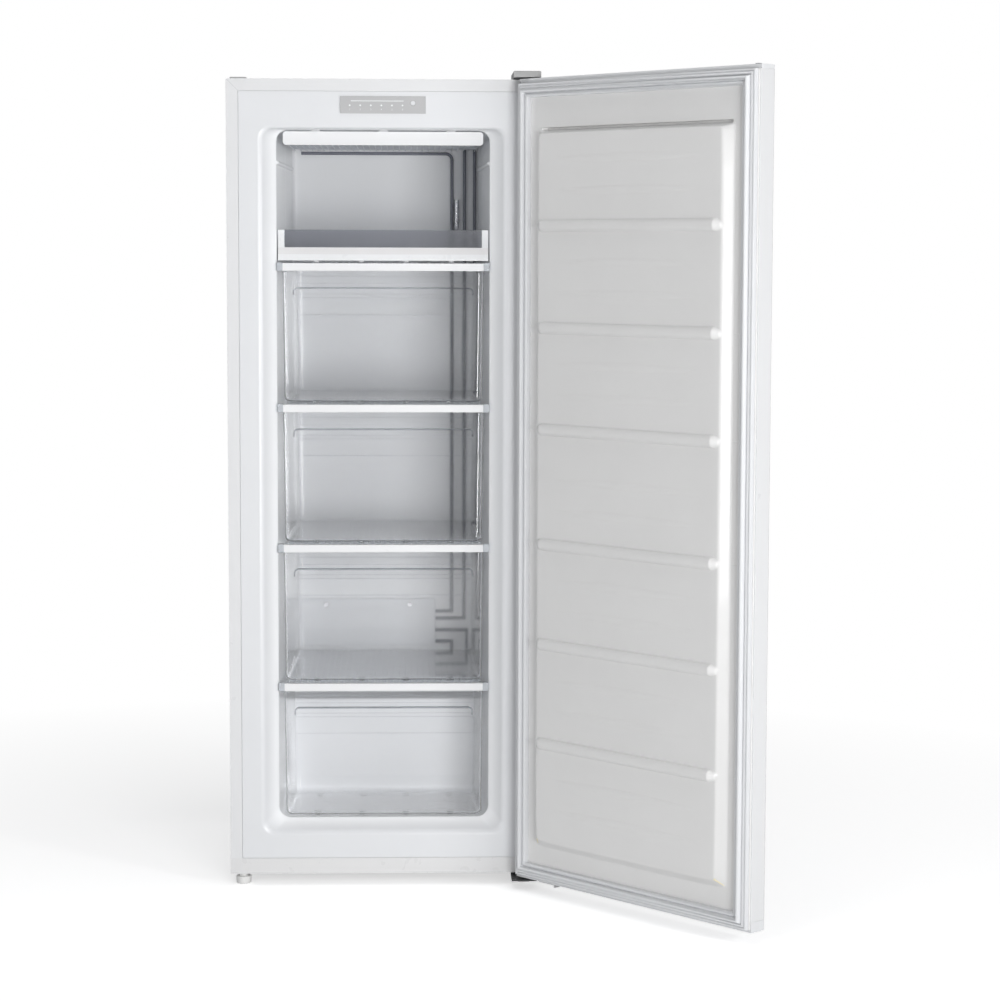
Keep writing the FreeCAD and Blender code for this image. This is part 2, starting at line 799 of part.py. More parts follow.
# Control board: circuit board on four posts behind the land, with the switch that the button presses.
BOARD_Y = f"({FOAM_FRONT}+board_gap)"
BOARD_Z = f"(({PANEL_TOP}+{PANEL_BOTTOM})/2)"
board_plate = box(
    "board_plate",
    ("-board_width/2", BOARD_Y, f"{BOARD_Z}-board_height/2"),
    ("board_width/2", f"{BOARD_Y}+board_gauge", f"{BOARD_Z}+board_height/2"),
)
board_switch = box(
    "board_switch",
    ("button_place-switch_width/2", f"{BOARD_Y}-switch_height", f"{BUTTON_Z}-switch_width/2"),
    ("button_place+switch_width/2", BOARD_Y, f"{BUTTON_Z}+switch_width/2"),
)
board_posts = [
    cylinder(
        f"board_post_{i}", "board_post", "board_gap", f"{sx}(board_width/2-board_post_inset)", FOAM_FRONT,
        f"{BOARD_Z}{sz}(board_height/2-board_post_inset)", "Y",
    )
    for i, (sx, sz) in enumerate((("-", "-"), ("-", "+"), ("", "-"), ("", "+")))
]
node("control_board", fuse("control_board", board_plate, board_switch, *board_posts))


def add_net(label, back, front, top, half, thickness):
    """A net of straight wires along Y between two cross bars: a plate with a row of slots."""
    net = body_of(label)
    primitive_box(net, "Additive", "plate", (f"-{half}", front, f"{top}-{thickness}"), (half, back, top))
    first = "-wire_pitch*(wire_slots-1)/2"
    slot = primitive_box(
        net,
        "Subtractive",
        "slot",
        (f"{first}-wire_gap/2", f"{front}+net_rail", f"{top}-{thickness}-1"),
        (f"{first}+wire_gap/2", f"{back}-net_rail", f"{top}+1"),
    )
    repeat(net, slot, "X_Axis", "wire_pitch*(wire_slots-1)", "wire_slots")
    return node(label, net)


def coil_points(top):
    """The shelf coil's centre line, flat below the net."""
    pairs = serpentine(size("coil_width"), size("coil_front"), size("coil_pitch"), int(size("coil_runs")))
    return [Vector(u, v, top) for u, v in pairs]


# Evaporator shelves: each a flat refrigerant coil under a net of wires, held at the front by a white trim.
TRIM_BACK = "(trim_front+trim_thickness)"
NET_HALF = "(net_width/2)"
lowest_top = size("foot_height") + size("sill_height") + size("throat_rise") + size("bottom_room")
for number in range(1, 5):
    top = shelf_top(number)
    top_mm = lowest_top + (4 - number) * size("shelf_pitch")
    add_net(f"shelf_wires_{number}", "net_back", TRIM_BACK, f"({top}+net_rise)", NET_HALF, "net_gauge")
    coil_z = top_mm + size("net_rise") - size("net_gauge") - size("coil_radius")
    coil_tube = tube(coil_points(coil_z), size("coil_radius"))
    node(f"shelf_coil_{number}", feature_of(f"shelf_coil_{number}", coil_tube))
    bar = box(
        f"trim_bar_{number}",
        (f"-{CAVITY_SIDE}+side_clear+trim_cap", "trim_front", f"{top}-trim_height"),
        (f"{CAVITY_SIDE}-side_clear-trim_cap", TRIM_BACK, top),
    )
    caps = [
        box(
            f"trim_cap_{number}_{mark}",
            (low, "trim_front-trim_cap_step", f"{top}-trim_height"),
            (high, TRIM_BACK, f"{top}+trim_cap_step"),
        )
        for mark, low, high in (
            ("left", f"-{CAVITY_SIDE}+side_clear", f"-{CAVITY_SIDE}+side_clear+trim_cap"),
            ("right", f"{CAVITY_SIDE}-side_clear-trim_cap", f"{CAVITY_SIDE}-side_clear"),
        )
    ]
    node(f"shelf_trim_{number}", fuse(f"shelf_trim_{number}", bar, *caps))

# Ceiling evaporator: the same coil and net hung under the cavity's ceiling, with a rounded white front bar.
CEILING_TRIM_TOP = f"({CAVITY_TOP}-ceiling_trim_gap)"
CEILING_BACK = "(ceiling_trim_front+ceiling_trim_thickness)"
CEILING_NET = f"({CEILING_TRIM_TOP}-ceiling_net_drop)"
add_net("ceiling_wires", "net_back", CEILING_BACK, CEILING_NET, NET_HALF, "net_gauge")
ceiling_net_mm = (
    size("foot_height") + size("cabinet_height") - size("head_height") - size("throat_drop")
    - size("ceiling_trim_gap") - size("ceiling_net_drop")
)
ceiling_coil = tube(coil_points(ceiling_net_mm + size("coil_radius")), size("coil_radius"))
node("ceiling_coil", feature_of("ceiling_coil", ceiling_coil))
ceiling_bar = body_of("ceiling_trim")
ceiling_block = primitive_box(
    ceiling_bar,
    "Additive",
    "bar",
    ("-ceiling_trim_width/2", "ceiling_trim_front", f"{CEILING_TRIM_TOP}-ceiling_trim_height"),
    ("ceiling_trim_width/2", CEILING_BACK, CEILING_TRIM_TOP),
)
fillet(ceiling_bar, ceiling_block, lambda e: runs_along(e, Vector(0, 1, 0)), "ceiling_trim_corner")
for mark, x in (("left", "-hanger_place"), ("middle", "0"), ("right", "hanger_place")):
    primitive_box(
        ceiling_bar,
        "Additive",
        f"hanger_{mark}",
        (f"{x}-hanger_width/2", f"{CEILING_BACK}-hanger_depth", f"{CEILING_TRIM_TOP}-hanger_depth"),
        (f"{x}+hanger_width/2", CEILING_BACK, CAVITY_TOP),
    )
node("ceiling_trim", ceiling_bar)


# Drawers: clear moulded tubs with a grip ledge across the front and low pads under the floor.
def tub_form(label, low, high, back, inset):
    """A solid tub form set in by an inset: it tapers to the back and leans in to its floor."""
    body = body_of(label)
    lean = f"(drawer_front_width-drawer_back_width)/2*({back}-drawer_front-2*{inset})/({back}-drawer_front)"
    front_half = f"(drawer_front_width/2-{inset})"
    back_half = f"({front_half}-{lean})"
    corners = [
        (f"-{front_half}", f"drawer_front+{inset}"),
        (front_half, f"drawer_front+{inset}"),
        (back_half, f"{back}-{inset}"),
        (f"-{back_half}", f"{back}-{inset}"),
    ]
    sketch = bind(outline(body, "XY_Plane", corners, "rim_outline"), AttachmentOffset__Base__z=low)
    form = pad(body, sketch, f"{high}-{low}", "form")
    doc.recompute()
    faces = [(f"Face{i + 1}", face) for i, face in enumerate(form.Shape.Faces)]
    uprights = [name for name, face in faces if abs(face.normalAt(0, 0).z) < 0.5 and face.normalAt(0, 0).y > -0.9]
    draft = body.newObject("PartDesign::Draft", "draft")
    draft.Base = (form, uprights)
    draft.NeutralPlane = (form, [next(name for name, face in faces if face.normalAt(0, 0).z > 0.5)])
    draft.Reversed = True
    bind(draft, Angle=f"atan(drawer_draft/({high}-{low}))")
    doc.recompute()
    tall = draft.Shape.BoundBox.ZLength
    fillet(body, draft, lambda edge: abs(edge.BoundBox.ZLength - tall) < 0.01, f"drawer_corner-{inset}", "corners")
    return body


def add_drawer(number, floor, height, back):
    """A tub hollowed from the top, so that its wall is even, with a ledge and eight pads."""
    label = f"drawer_{number}"
    under = f"({floor}+run_clear+pad_height)"
    rim = f"({under}+{height})"
    tub = tub_form(f"{label}_form", under, rim, back, "0")
    hollow = tub_form(f"{label}_hollow", f"({under}+drawer_gauge)", rim, back, "drawer_gauge")
    primitive_box(
        tub,
        "Additive",
        "grip_ledge",
        ("-drawer_front_width/2+grip_inset", "drawer_front-grip_depth", f"{rim}-grip_drop"),
        ("drawer_front_width/2-grip_inset", "drawer_front+drawer_gauge/2", f"{rim}-grip_drop+grip_gauge"),
    )
    for row, y in enumerate(("drawer_front+pad_margin", f"{back}-pad_margin")):
        for column in range(4):
            pad_disc = tub.newObject("PartDesign::AdditiveCylinder", f"pad_{row}_{column}")
            place(pad_disc, f"({column}-1.5)*pad_pitch", y, f"{floor}+run_clear")
            bind(pad_disc, Radius="pad_radius", Height="pad_height+drawer_gauge/2")
    return node(label, cut(label, tub, hollow))


for number in range(1, 4):
    floor = f"({shelf_top(number + 1)}+net_rise)"
    add_drawer(number, floor, "(shelf_pitch-trim_height-net_rise-run_clear-pad_height-top_clear)", "drawer_back")
add_drawer(4, CAVITY_BOTTOM, "(bottom_room-trim_height-run_clear-pad_height-top_clear)", "bottom_drawer_back")

# Freezing tray: a shallow pull-out tray over the top shelf, with a white front bar between two end posts.
TRAY_FLOOR = f"({shelf_top(1)}+net_rise+run_clear+pad_height)"
TRAY_BAR_BACK = "(tray_front+tray_bar_thickness)"
tray_half = "(tray_width/2)"
tray_inner = "(tray_width/2-tray_post_width)"
tray_floor = box(
    "tray_floor",
    (f"-{tray_inner}", "tray_front+tray_bar_thickness", TRAY_FLOOR),
    (tray_inner, "tray_back", f"{TRAY_FLOOR}+tray_gauge"),
)
tray_bar = body_of("tray_bar")
bar_section = outline(
    tray_bar,
    "YZ_Plane",
    [
        ("tray_front", TRAY_FLOOR),
        ("tray_front", f"{TRAY_FLOOR}+tray_bar_face"),
        ("tray_front+tray_bar_slope", f"{TRAY_FLOOR}+tray_bar_height"),
        ("tray_front+tray_bar_thickness", f"{TRAY_FLOOR}+tray_bar_height"),
        ("tray_front+tray_bar_thickness", TRAY_FLOOR),
    ],
    "bar_section",
)
pad(tray_bar, bar_section, "tray_width", "bar", both=True)
tray_pieces = [tray_floor, tray_bar]
for mark, low, high in (("left", f"-{tray_half}", f"-{tray_inner}"), ("right", tray_inner, tray_half)):
    tray_pieces.append(
        box(
            f"tray_post_{mark}",
            (low, "tray_front+tray_bar_slope", f"{TRAY_FLOOR}+tray_bar_height"),
            (high, "tray_front+tray_bar_thickness", f"{TRAY_FLOOR}+tray_post_height"),
        )
    )
side_low = f"{TRAY_FLOOR}+tray_side_height"
for mark, x in (("left", f"-{tray_inner}"), ("right", f"{tray_inner}-tray_gauge")):
    tray_pieces.append(
        box(f"tray_side_{mark}", (x, TRAY_BAR_BACK, TRAY_FLOOR), (f"{x}+tray_gauge", "tray_back", side_low))
    )
tray_end_low = (f"-{tray_inner}", "tray_back-tray_gauge", TRAY_FLOOR)
tray_pieces.append(box("tray_end", tray_end_low, (tray_inner, "tray_back", side_low)))
for row, y in enumerate(("tray_front+pad_margin", "tray_back-pad_margin")):
    for column in range(4):
        tray_pieces.append(
            cylinder(
                f"tray_pad_{row}_{column}", "pad_radius", "pad_height", f"({column}-1.5)*pad_pitch", y,
                f"{TRAY_FLOOR}-pad_height",
            )
        )
node("freezing_tray", fuse("freezing_tray", *tray_pieces))
retainer = box(
    "retainer_plate",
    (f"-{tray_inner}", f"{TRAY_BAR_BACK}-retainer_inset/2-retainer_gauge", f"{TRAY_FLOOR}+tray_bar_height"),
    (tray_inner, f"{TRAY_BAR_BACK}-retainer_inset/2", f"{TRAY_FLOOR}+tray_post_height"),
)
node("tray_retainer", retainer)

# Riser tubes: the refrigerant lines up the back wall, with the bypass behind the cover plate.
RISER_Y = size("cavity_depth") - size("riser_back_gap") - size("riser_radius")
riser_top = ceiling_net_mm + size("coil_radius")
riser_x = [size("riser_side") + size("riser_spacing") * share for share in (0, 1, 1.8)]
plate_right = size("cover_plate_left") + size("cover_plate_width")
bypass_in = [lowest_top + size("bypass_top") - i * size("bypass_pitch") for i in range(2)]
bypass_out = [lowest_top + size("bypass_out") - i * size("bypass_out_pitch") for i in range(2)]
upper_lines = [
    tube(
        [
            Vector(x, RISER_Y, riser_top),
            Vector(x, RISER_Y, bypass_in[i]),
            Vector(plate_right, RISER_Y, bypass_in[i]),
        ],
        size("riser_radius"),
    )
    for i, x in enumerate(riser_x[:2])
]
lowest_coil = lowest_top + size("net_rise") - size("net_gauge") - size("coil_radius")
lower_lines = [
    tube(
        [
            Vector(plate_right, RISER_Y, bypass_out[i]),
            Vector(x, RISER_Y, bypass_out[i]),
            Vector(x, RISER_Y, lowest_coil),
        ],
        size("riser_radius"),
    )
    for i, x in enumerate((riser_x[1] + 2 * size("riser_radius"), riser_x[0]))
]
return_line = tube(
    [Vector(riser_x[2], RISER_Y, riser_top), Vector(riser_x[2], RISER_Y, lowest_coil + 3 * size("shelf_pitch"))],
    size("riser_radius"),
)
node("riser_tubes", feature_of("riser_tubes", Part.makeCompound(upper_lines + lower_lines + [return_line])))

# Bypass cover: moulded plate over the joint of the lines, with two screws.
PLATE_LEFT = "cover_plate_left"
PLATE_TOP = f"({shelf_top(4)}+cover_plate_top)"
plate = body_of("bypass_cover")
plate_block = primitive_box(
    plate,
    "Additive",
    "plate",
    ("cover_plate_left", "cavity_depth-cover_plate_depth", f"{PLATE_TOP}-cover_plate_height"),
    ("cover_plate_left+cover_plate_width", "cavity_depth", PLATE_TOP),
)
fillet(plate, plate_block, lambda e: runs_along(e, Vector(0, 1, 0)), "cover_plate_corner")
node("bypass_cover", plate)
cover_screws = [
    cylinder(
        f"cover_screw_{i}",
        "screw_head",
        "screw_head_height",
        x,
        "cavity_depth-cover_plate_depth-screw_head_height",
        f"{PLATE_TOP}-cover_screw_drop",
        "Y",
    )
    for i, x in enumerate((f"{PLATE_LEFT}+cover_screw_margin", f"{PLATE_LEFT}+cover_plate_width-cover_screw_margin"))
]
node("bypass_cover_screws", group("bypass_cover_screws", *cover_screws))

# Sensor bulb: the thermostat's feeler, clipped to the back wall over the top shelf.
bulb = cylinder(
    "sensor_bulb",
    "bulb_radius",
    "bulb_length",
    "riser_side+riser_spacing/2-riser_radius",
    "cavity_depth-bulb_radius-riser_back_gap",
    f"{shelf_top(1)}+bulb_rise",
)
node("sensor_bulb", bulb)

# Top hinge: a flat steel bracket on the cabinet with the pin that hangs into the door, under a grey cover.
BRACKET_LEFT = f"({PIN_X}-bracket_inner)"
BRACKET_RIGHT = f"({PIN_X}+bracket_outer)"
upper = body_of("top_hinge_bracket")
upper_profile = outline(
    upper,
    "YZ_Plane",
    [
        (f"{PIN_Y}-bracket_nose", f"{CAB_TOP}+bracket_lift"),
        ("-4", f"{CAB_TOP}+bracket_lift"),
        ("1", CAB_TOP),
        ("bracket_back", CAB_TOP),
        ("bracket_back", f"{CAB_TOP}+bracket_gauge"),
        ("4", f"{CAB_TOP}+bracket_gauge"),
        ("-1", f"{CAB_TOP}+bracket_lift+bracket_gauge"),
        (f"{PIN_Y}-bracket_nose", f"{CAB_TOP}+bracket_lift+bracket_gauge"),
    ],
    "bracket_profile",
)
pad(upper, upper_profile, "bracket_inner+bracket_outer", "arm")
bind(upper_profile, AttachmentOffset__Base__z=BRACKET_LEFT)
upper_pin = upper.newObject("PartDesign::AdditiveCylinder", "pin")
place(upper_pin, PIN_X, PIN_Y, f"{DOOR_TOP}-pin_reach")
bind(upper_pin, Radius="pin_radius", Height=f"{CAB_TOP}+bracket_lift+bracket_gauge-{DOOR_TOP}+pin_reach")
node("top_hinge_bracket", upper)
cover_block = body_of("cover_block")
cover_top = primitive_box(
    cover_block,
    "Additive",
    "cap",
    (f"{BRACKET_LEFT}-cover_wall", f"{PIN_Y}-bracket_nose-cover_wall", f"{CAB_TOP}+bracket_lift"),
    (f"{BRACKET_RIGHT}+cover_wall", "bracket_back+cover_wall", f"{CAB_TOP}+cover_height"),
)
fillet(cover_block, cover_top, lambda e: e.BoundBox.ZMin > cover_top.Shape.BoundBox.ZMax - 0.01, "cover_bend")
cover_inner = box(
    "cover_inner",
    (BRACKET_LEFT, f"{PIN_Y}-bracket_nose", f"{CAB_TOP}+bracket_lift-1"),
    (BRACKET_RIGHT, "bracket_back", f"{CAB_TOP}+cover_height-cover_wall"),
)
cover_skirt_outer = box(
    "cover_skirt_outer",
    (f"{BRACKET_LEFT}-cover_wall", "0", CAB_TOP),
    (f"{BRACKET_RIGHT}+cover_wall", "bracket_back+cover_wall", f"{CAB_TOP}+bracket_lift"),
)
cover_skirt_inner = box(
    "cover_skirt_inner",
    (BRACKET_LEFT, "-1", f"{CAB_TOP}-1"),
    (BRACKET_RIGHT, "bracket_back", f"{CAB_TOP}+bracket_lift"),
)
cover_walls = fuse("cover_walls", cover_block, cover_skirt_outer)
node("top_hinge_cover", cut("top_hinge_cover", cover_walls, cover_inner, cover_skirt_inner))

# Lower hinge: a joggled bracket under the cabinet whose pin stands up into the door.
lower = body_of("lower_hinge_bracket")
ARM_TOP = f"({CAB_BOTTOM}-bracket_drop+bracket_gauge)"
lower_profile = outline(
    lower,
    "YZ_Plane",
    [
        (f"{PIN_Y}-bracket_nose", f"{CAB_BOTTOM}-bracket_drop"),
        ("8", f"{CAB_BOTTOM}-bracket_drop"),
        ("12", f"{CAB_BOTTOM}-bracket_gauge"),
        ("bracket_back", f"{CAB_BOTTOM}-bracket_gauge"),
        ("bracket_back", CAB_BOTTOM),
        ("6", CAB_BOTTOM),
        ("2", ARM_TOP),
        (f"{PIN_Y}-bracket_nose", ARM_TOP),
    ],
    "bracket_profile",
)
arm = pad(lower, lower_profile, "bracket_inner+bracket_outer", "arm")
bind(lower_profile, AttachmentOffset__Base__z=BRACKET_LEFT)
lower_pin = lower.newObject("PartDesign::AdditiveCylinder", "pin")
place(lower_pin, PIN_X, PIN_Y, f"{CAB_BOTTOM}-bracket_drop")
bind(lower_pin, Radius="pin_radius", Height=f"{DOOR_BOTTOM}+pin_reach-{CAB_BOTTOM}+bracket_drop")
foot_bore = lower.newObject("PartDesign::SubtractiveCylinder", "foot_bore")
place(foot_bore, f"{CAB_SIDE}-foot_side", "foot_front", f"{CAB_BOTTOM}-bracket_drop-1")
bind(foot_bore, Radius="stud_radius+stud_clear", Height="bracket_drop+2")
node("lower_hinge_bracket", lower)

# Hinge screws: heads and shanks that hold both brackets to the cabinet.
hinge_screws = []
for mark, x, y in (
    ("a", f"{BRACKET_LEFT}+screw_inset", "2*screw_inset"),
    ("b", f"{BRACKET_LEFT}+screw_inset", "bracket_back-screw_inset"),
    ("c", f"{BRACKET_RIGHT}-screw_inset", "bracket_back-screw_inset"),
):
    hinge_screws.append(
        cylinder(f"top_screw_{mark}", "screw_head", "screw_head_height", x, y, f"{CAB_TOP}+bracket_gauge")
    )
for mark, x in (("d", f"{BRACKET_LEFT}+screw_inset"), ("e", f"{BRACKET_RIGHT}-screw_inset")):
    hinge_screws.append(
        cylinder(
            f"lower_screw_{mark}", "screw_head", "screw_head_height", x, "bracket_back-screw_inset",
            f"{CAB_BOTTOM}-bracket_gauge-screw_head_height",
        )
    )
node("hinge_screws", group("hinge_screws", *hinge_screws))

# Blank cover: closes the hinge holes at the other top corner.
blank = body_of("blank_hinge_cover")
blank_block = primitive_box(
    blank,
    "Additive",
    "cap",
    (f"-{CAB_SIDE}+blank_side", "blank_front", CAB_TOP),
    (f"-{CAB_SIDE}+blank_side+blank_width", "blank_front+blank_depth", f"{CAB_TOP}+blank_height"),
)
fillet(blank, blank_block, lambda e: e.BoundBox.ZMin > blank_block.Shape.BoundBox.ZMax - 0.01, "blank_edge")
node("blank_hinge_cover", blank)


# Feet: two front feet that screw up and down in the base, and two fixed feet under the machine compartment.
def add_foot(label, x, height, y="foot_front"):
    foot = body_of(label)
    half = outline(
        foot,
        "XZ_Plane",
        [
            ("0", "0"),
            ("foot_radius-foot_taper", "0"),
            ("foot_radius", "foot_taper*2"),
            ("foot_radius", height),
            ("stud_radius", height),
            ("stud_radius", "foot_height+stud_length-1"),
            ("stud_radius-1", "foot_height+stud_length"),
            ("0", "foot_height+stud_length"),
        ],
        "half_section",
    )
    turned = foot.newObject("PartDesign::Revolution", "turned")
    turned.Profile = half
    turned.ReferenceAxis = (half, ["V_Axis"])
    turned.Angle = 360
    place(foot, x, y)
    return node(label, foot)


add_foot("foot_front_left", f"-{CAB_SIDE}+foot_side", "foot_height-foot_gap")
add_foot("foot_front_right", f"{CAB_SIDE}-foot_side", "foot_height-bracket_drop-foot_gap")
rear_feet = [
    cylinder(
        f"rear_foot_{mark}", "rear_foot_radius", "foot_height", f"{side}({CAB_SIDE}-rear_foot_side)",
        f"{CAB_BACK}-rear_foot_back", "0",
    )
    for mark, side in (("left", "-"), ("right", ""))
]
node("rear_feet", group("rear_feet", *rear_feet))

# Compressor: a welded steel can on a foot plate, held on four rubber mounts in the machine compartment.
COMPRESSOR_Y = f"({CAB_BACK}-compressor_back)"
CAN_BOTTOM = f"({CAB_BOTTOM}+base_gauge+compressor_lift)"
can = body_of("compressor")
can_profile = outline(
    can,
    "XZ_Plane",
    [
        ("0", "0"),
        ("compressor_radius-can_crown", "0"),
        ("compressor_radius-can_seam", "can_base"),
        ("compressor_radius", "compressor_height/2-can_seam"),
        ("compressor_radius+can_seam", "compressor_height/2-can_seam"),
        ("compressor_radius+can_seam", "compressor_height/2-can_seam+can_seam_height"),
        ("compressor_radius", "compressor_height/2-can_seam+can_seam_height"),
        ("compressor_radius-can_seam", "compressor_height-can_shoulder"),
        ("compressor_radius-can_crown", "compressor_height-can_shoulder/3"),
        ("compressor_radius-2*can_crown", "compressor_height"),
        ("0", "compressor_height"),
    ],
    "can_profile",
)
turned_can = can.newObject("PartDesign::Revolution", "turned")
turned_can.Profile = can_profile
turned_can.ReferenceAxis = (can_profile, ["V_Axis"])
turned_can.Angle = 360
primitive_box(
    can,
    "Additive",
    "foot_plate",
    ("-compressor_foot-foot_plate_margin", "-compressor_foot-foot_plate_margin", "-foot_plate_gauge"),
    ("compressor_foot+foot_plate_margin", "compressor_foot+foot_plate_margin", "foot_plate_gauge/4"),
)
place(can, "compressor_place", COMPRESSOR_Y, CAN_BOTTOM)
node("compressor", can)
mounts = [
    cylinder(
        f"mount_{i}", "mount_radius", "compressor_lift-foot_plate_gauge",
        f"compressor_place{sx}compressor_foot", f"{COMPRESSOR_Y}{sy}compressor_foot",
        f"{CAB_BOTTOM}+base_gauge",
    )
    for i, (sx, sy) in enumerate((("-", "-"), ("-", "+"), ("+", "-"), ("+", "+")))
]
node("compressor_mounts", group("compressor_mounts", *mounts))

# Terminal box: the relay housing clipped to the side of the can.
TERMINAL_Z = f"({CAN_BOTTOM}+compressor_height/2-terminal_drop)"
terminal_block = box(
    "terminal_block",
    (
        "compressor_place-compressor_radius-terminal_width",
        f"{COMPRESSOR_Y}-terminal_depth/2",
        f"{TERMINAL_Z}-terminal_height/2",
    ),
    ("compressor_place", f"{COMPRESSOR_Y}+terminal_depth/2", f"{TERMINAL_Z}+terminal_height/2"),
)
can_room = cylinder(
    "can_room", "compressor_radius+can_seam+run_clear", "compressor_height", "compressor_place",
    COMPRESSOR_Y, CAN_BOTTOM,
)
node("terminal_box", cut("terminal_box", terminal_block, can_room))

# Filter drier: copper can that stands in the machine compartment, clipped to the bulkhead.
drier = cylinder(
    "filter_drier", "drier_radius", "drier_length", "-compressor_place",
    "bulkhead_front+sheet_gauge+drier_radius+run_clear", f"{CAB_BOTTOM}+drier_rise",
)
node("filter_drier", drier)

# Cord gland: the sleeve in the base tray's back edge where the mains lead leaves.
LIP_FRONT = f"({CAB_BACK}-base_gauge)"
gland_neck = cylinder("gland_sleeve", "gland_neck", "base_gauge", GLAND_X, LIP_FRONT, GLAND_Z, "Y")
gland_inside = cylinder(
    "gland_inside", "gland_radius", "gland_flange", GLAND_X, f"{LIP_FRONT}-gland_flange", GLAND_Z, "Y"
)
gland_outside = cylinder("gland_outside", "gland_radius", "gland_flange", GLAND_X, CAB_BACK, GLAND_Z, "Y")
gland_length = "(base_gauge+4*gland_flange)"
gland_bore = cylinder(
    "gland_passage", "gland_bore", gland_length, GLAND_X, f"{LIP_FRONT}-2*gland_flange", GLAND_Z, "Y"
)
node("cord_gland", cut("cord_gland", fuse("gland_body", gland_neck, gland_inside, gland_outside), gland_bore))

# Condenser: a coil of horizontal runs on the back, tied by upright wires, on lugs that meet the back panel.
CONDENSER_LOW = f"({BULKHEAD_TOP}+condenser_rise)"
CONDENSER_HIGH = f"({CAB_TOP}-condenser_top_gap)"
condenser_tube_radius = size("coil_radius") * 0.75
condenser_y = size("cabinet_depth") + size("condenser_gap") + condenser_tube_radius
condenser_low = size("foot_height") + size("bulkhead_height") + size("condenser_rise")
condenser_high = size("foot_height") + size("cabinet_height") - size("condenser_top_gap")
condenser_span = condenser_high - condenser_low - 2 * size("condenser_end")
condenser_pairs = serpentine(
    size("condenser_width"),
    condenser_low + size("condenser_end"),
    condenser_span / (size("condenser_runs") - 1),
    int(size("condenser_runs")),
    3,
)
condenser_tube = tube([Vector(u, condenser_y, v) for u, v in condenser_pairs], condenser_tube_radius)
node("condenser_coil", feature_of("condenser_coil", condenser_tube))
condenser_net = body_of("condenser_wires")
NET_REAR = f"({CAB_BACK}+condenser_gap)"
NET_FRONT = f"({NET_REAR}-condenser_wire)"
NET_SIDE = "(condenser_wire_pitch*condenser_slots/2+condenser_rail)"
primitive_box(
    condenser_net,
    "Additive",
    "plate",
    (f"-{NET_SIDE}", NET_FRONT, CONDENSER_LOW),
    (NET_SIDE, NET_REAR, CONDENSER_HIGH),
)
for level, z in (("low", CONDENSER_LOW), ("high", f"{CONDENSER_HIGH}-lug_height")):
    for mark, x in (("left", "-lug_place"), ("right", "lug_place")):
        primitive_box(
            condenser_net,
            "Additive",
            f"lug_{level}_{mark}",
            (f"{x}-lug_width/2", CAB_BACK, z),
            (f"{x}+lug_width/2", NET_REAR, f"{z}+lug_height"),
        )
first_slot = "-condenser_wire_pitch*(condenser_slots-1)/2"
condenser_slot = primitive_box(
    condenser_net,
    "Subtractive",
    "slot",
    (f"{first_slot}-condenser_wire_gap/2", f"{NET_FRONT}-1", f"{CONDENSER_LOW}+condenser_rail"),
    (f"{first_slot}+condenser_wire_gap/2", f"{NET_REAR}+1", f"{CONDENSER_HIGH}-condenser_rail"),
)
repeat(condenser_net, condenser_slot, "X_Axis", "condenser_wire_pitch*(condenser_slots-1)", "condenser_slots")
node("condenser_wires", condenser_net)


# The door is modelled shut and then turned about the hinge pin to the angle at which it stands open.
def turn_with_door(item):
    item.Placement = FreeCAD.Placement(Vector(), FreeCAD.Rotation(Vector(0, 0, 1), 1))
    return bind(
        item,
        Placement__Rotation__Angle="door_open",
        Placement__Base__x=f"{PIN_X}-{PIN_X}*cos(door_open)+{PIN_Y}*sin(door_open)",
        Placement__Base__y=f"{PIN_Y}-{PIN_X}*sin(door_open)-{PIN_Y}*cos(door_open)",
    )


def door_node(label, item):
    return node(label, turn_with_door(item))


# Door skin: one painted sheet over the front and both sides, with its edges turned in behind.
SKIN_TOP = f"({DOOR_TOP}-top_rim-cap_slot)"
SKIN_BOTTOM = f"({DOOR_BOTTOM}+bottom_rim)"
skin = body_of("door_skin")
skin_profile = outline(
    skin,
    "XY_Plane",
    [
        (f"-{CAB_SIDE}+door_return", DOOR_INNER),
        (f"-{CAB_SIDE}", DOOR_INNER),
        (f"-{CAB_SIDE}", DOOR_OUTER),
        (CAB_SIDE, DOOR_OUTER),
        (CAB_SIDE, DOOR_INNER),
        (f"{CAB_SIDE}-door_return", DOOR_INNER),
        (f"{CAB_SIDE}-door_return", f"{DOOR_INNER}-sheet_gauge"),
        (f"{CAB_SIDE}-sheet_gauge", f"{DOOR_INNER}-sheet_gauge"),
        (f"{CAB_SIDE}-sheet_gauge", f"{DOOR_OUTER}+sheet_gauge"),
        (f"-{CAB_SIDE}+sheet_gauge", f"{DOOR_OUTER}+sheet_gauge"),
        (f"-{CAB_SIDE}+sheet_gauge", f"{DOOR_INNER}-sheet_gauge"),
        (f"-{CAB_SIDE}+door_return", f"{DOOR_INNER}-sheet_gauge"),
    ],
    "skin_profile",
)
bind(skin_profile, AttachmentOffset__Base__z=SKIN_BOTTOM)
skin_fold = pad(skin, skin_profile, f"{SKIN_TOP}-{SKIN_BOTTOM}", "fold")


def front_upright_edges(inset):
    """Upright edges of the door's two front corners, at an inset from the outside."""
    side = size("cabinet_width") / 2 - inset
    front = -size("door_gap") - size("door_thickness") + inset
    near = lambda point: abs(abs(point.x) - side) < 0.01 and abs(point.y - front) < 0.01
    return lambda edge: runs_along(edge, Vector(0, 0, 1)) and near(edge.Vertexes[0].Point)


skin_bend = fillet(skin, skin_fold, front_upright_edges(0), "door_bend", "outer_bend")
fillet(skin, skin_bend, front_upright_edges(size("sheet_gauge")), DOOR_INNER_BEND, "inner_bend")
door_node("door_skin", skin)


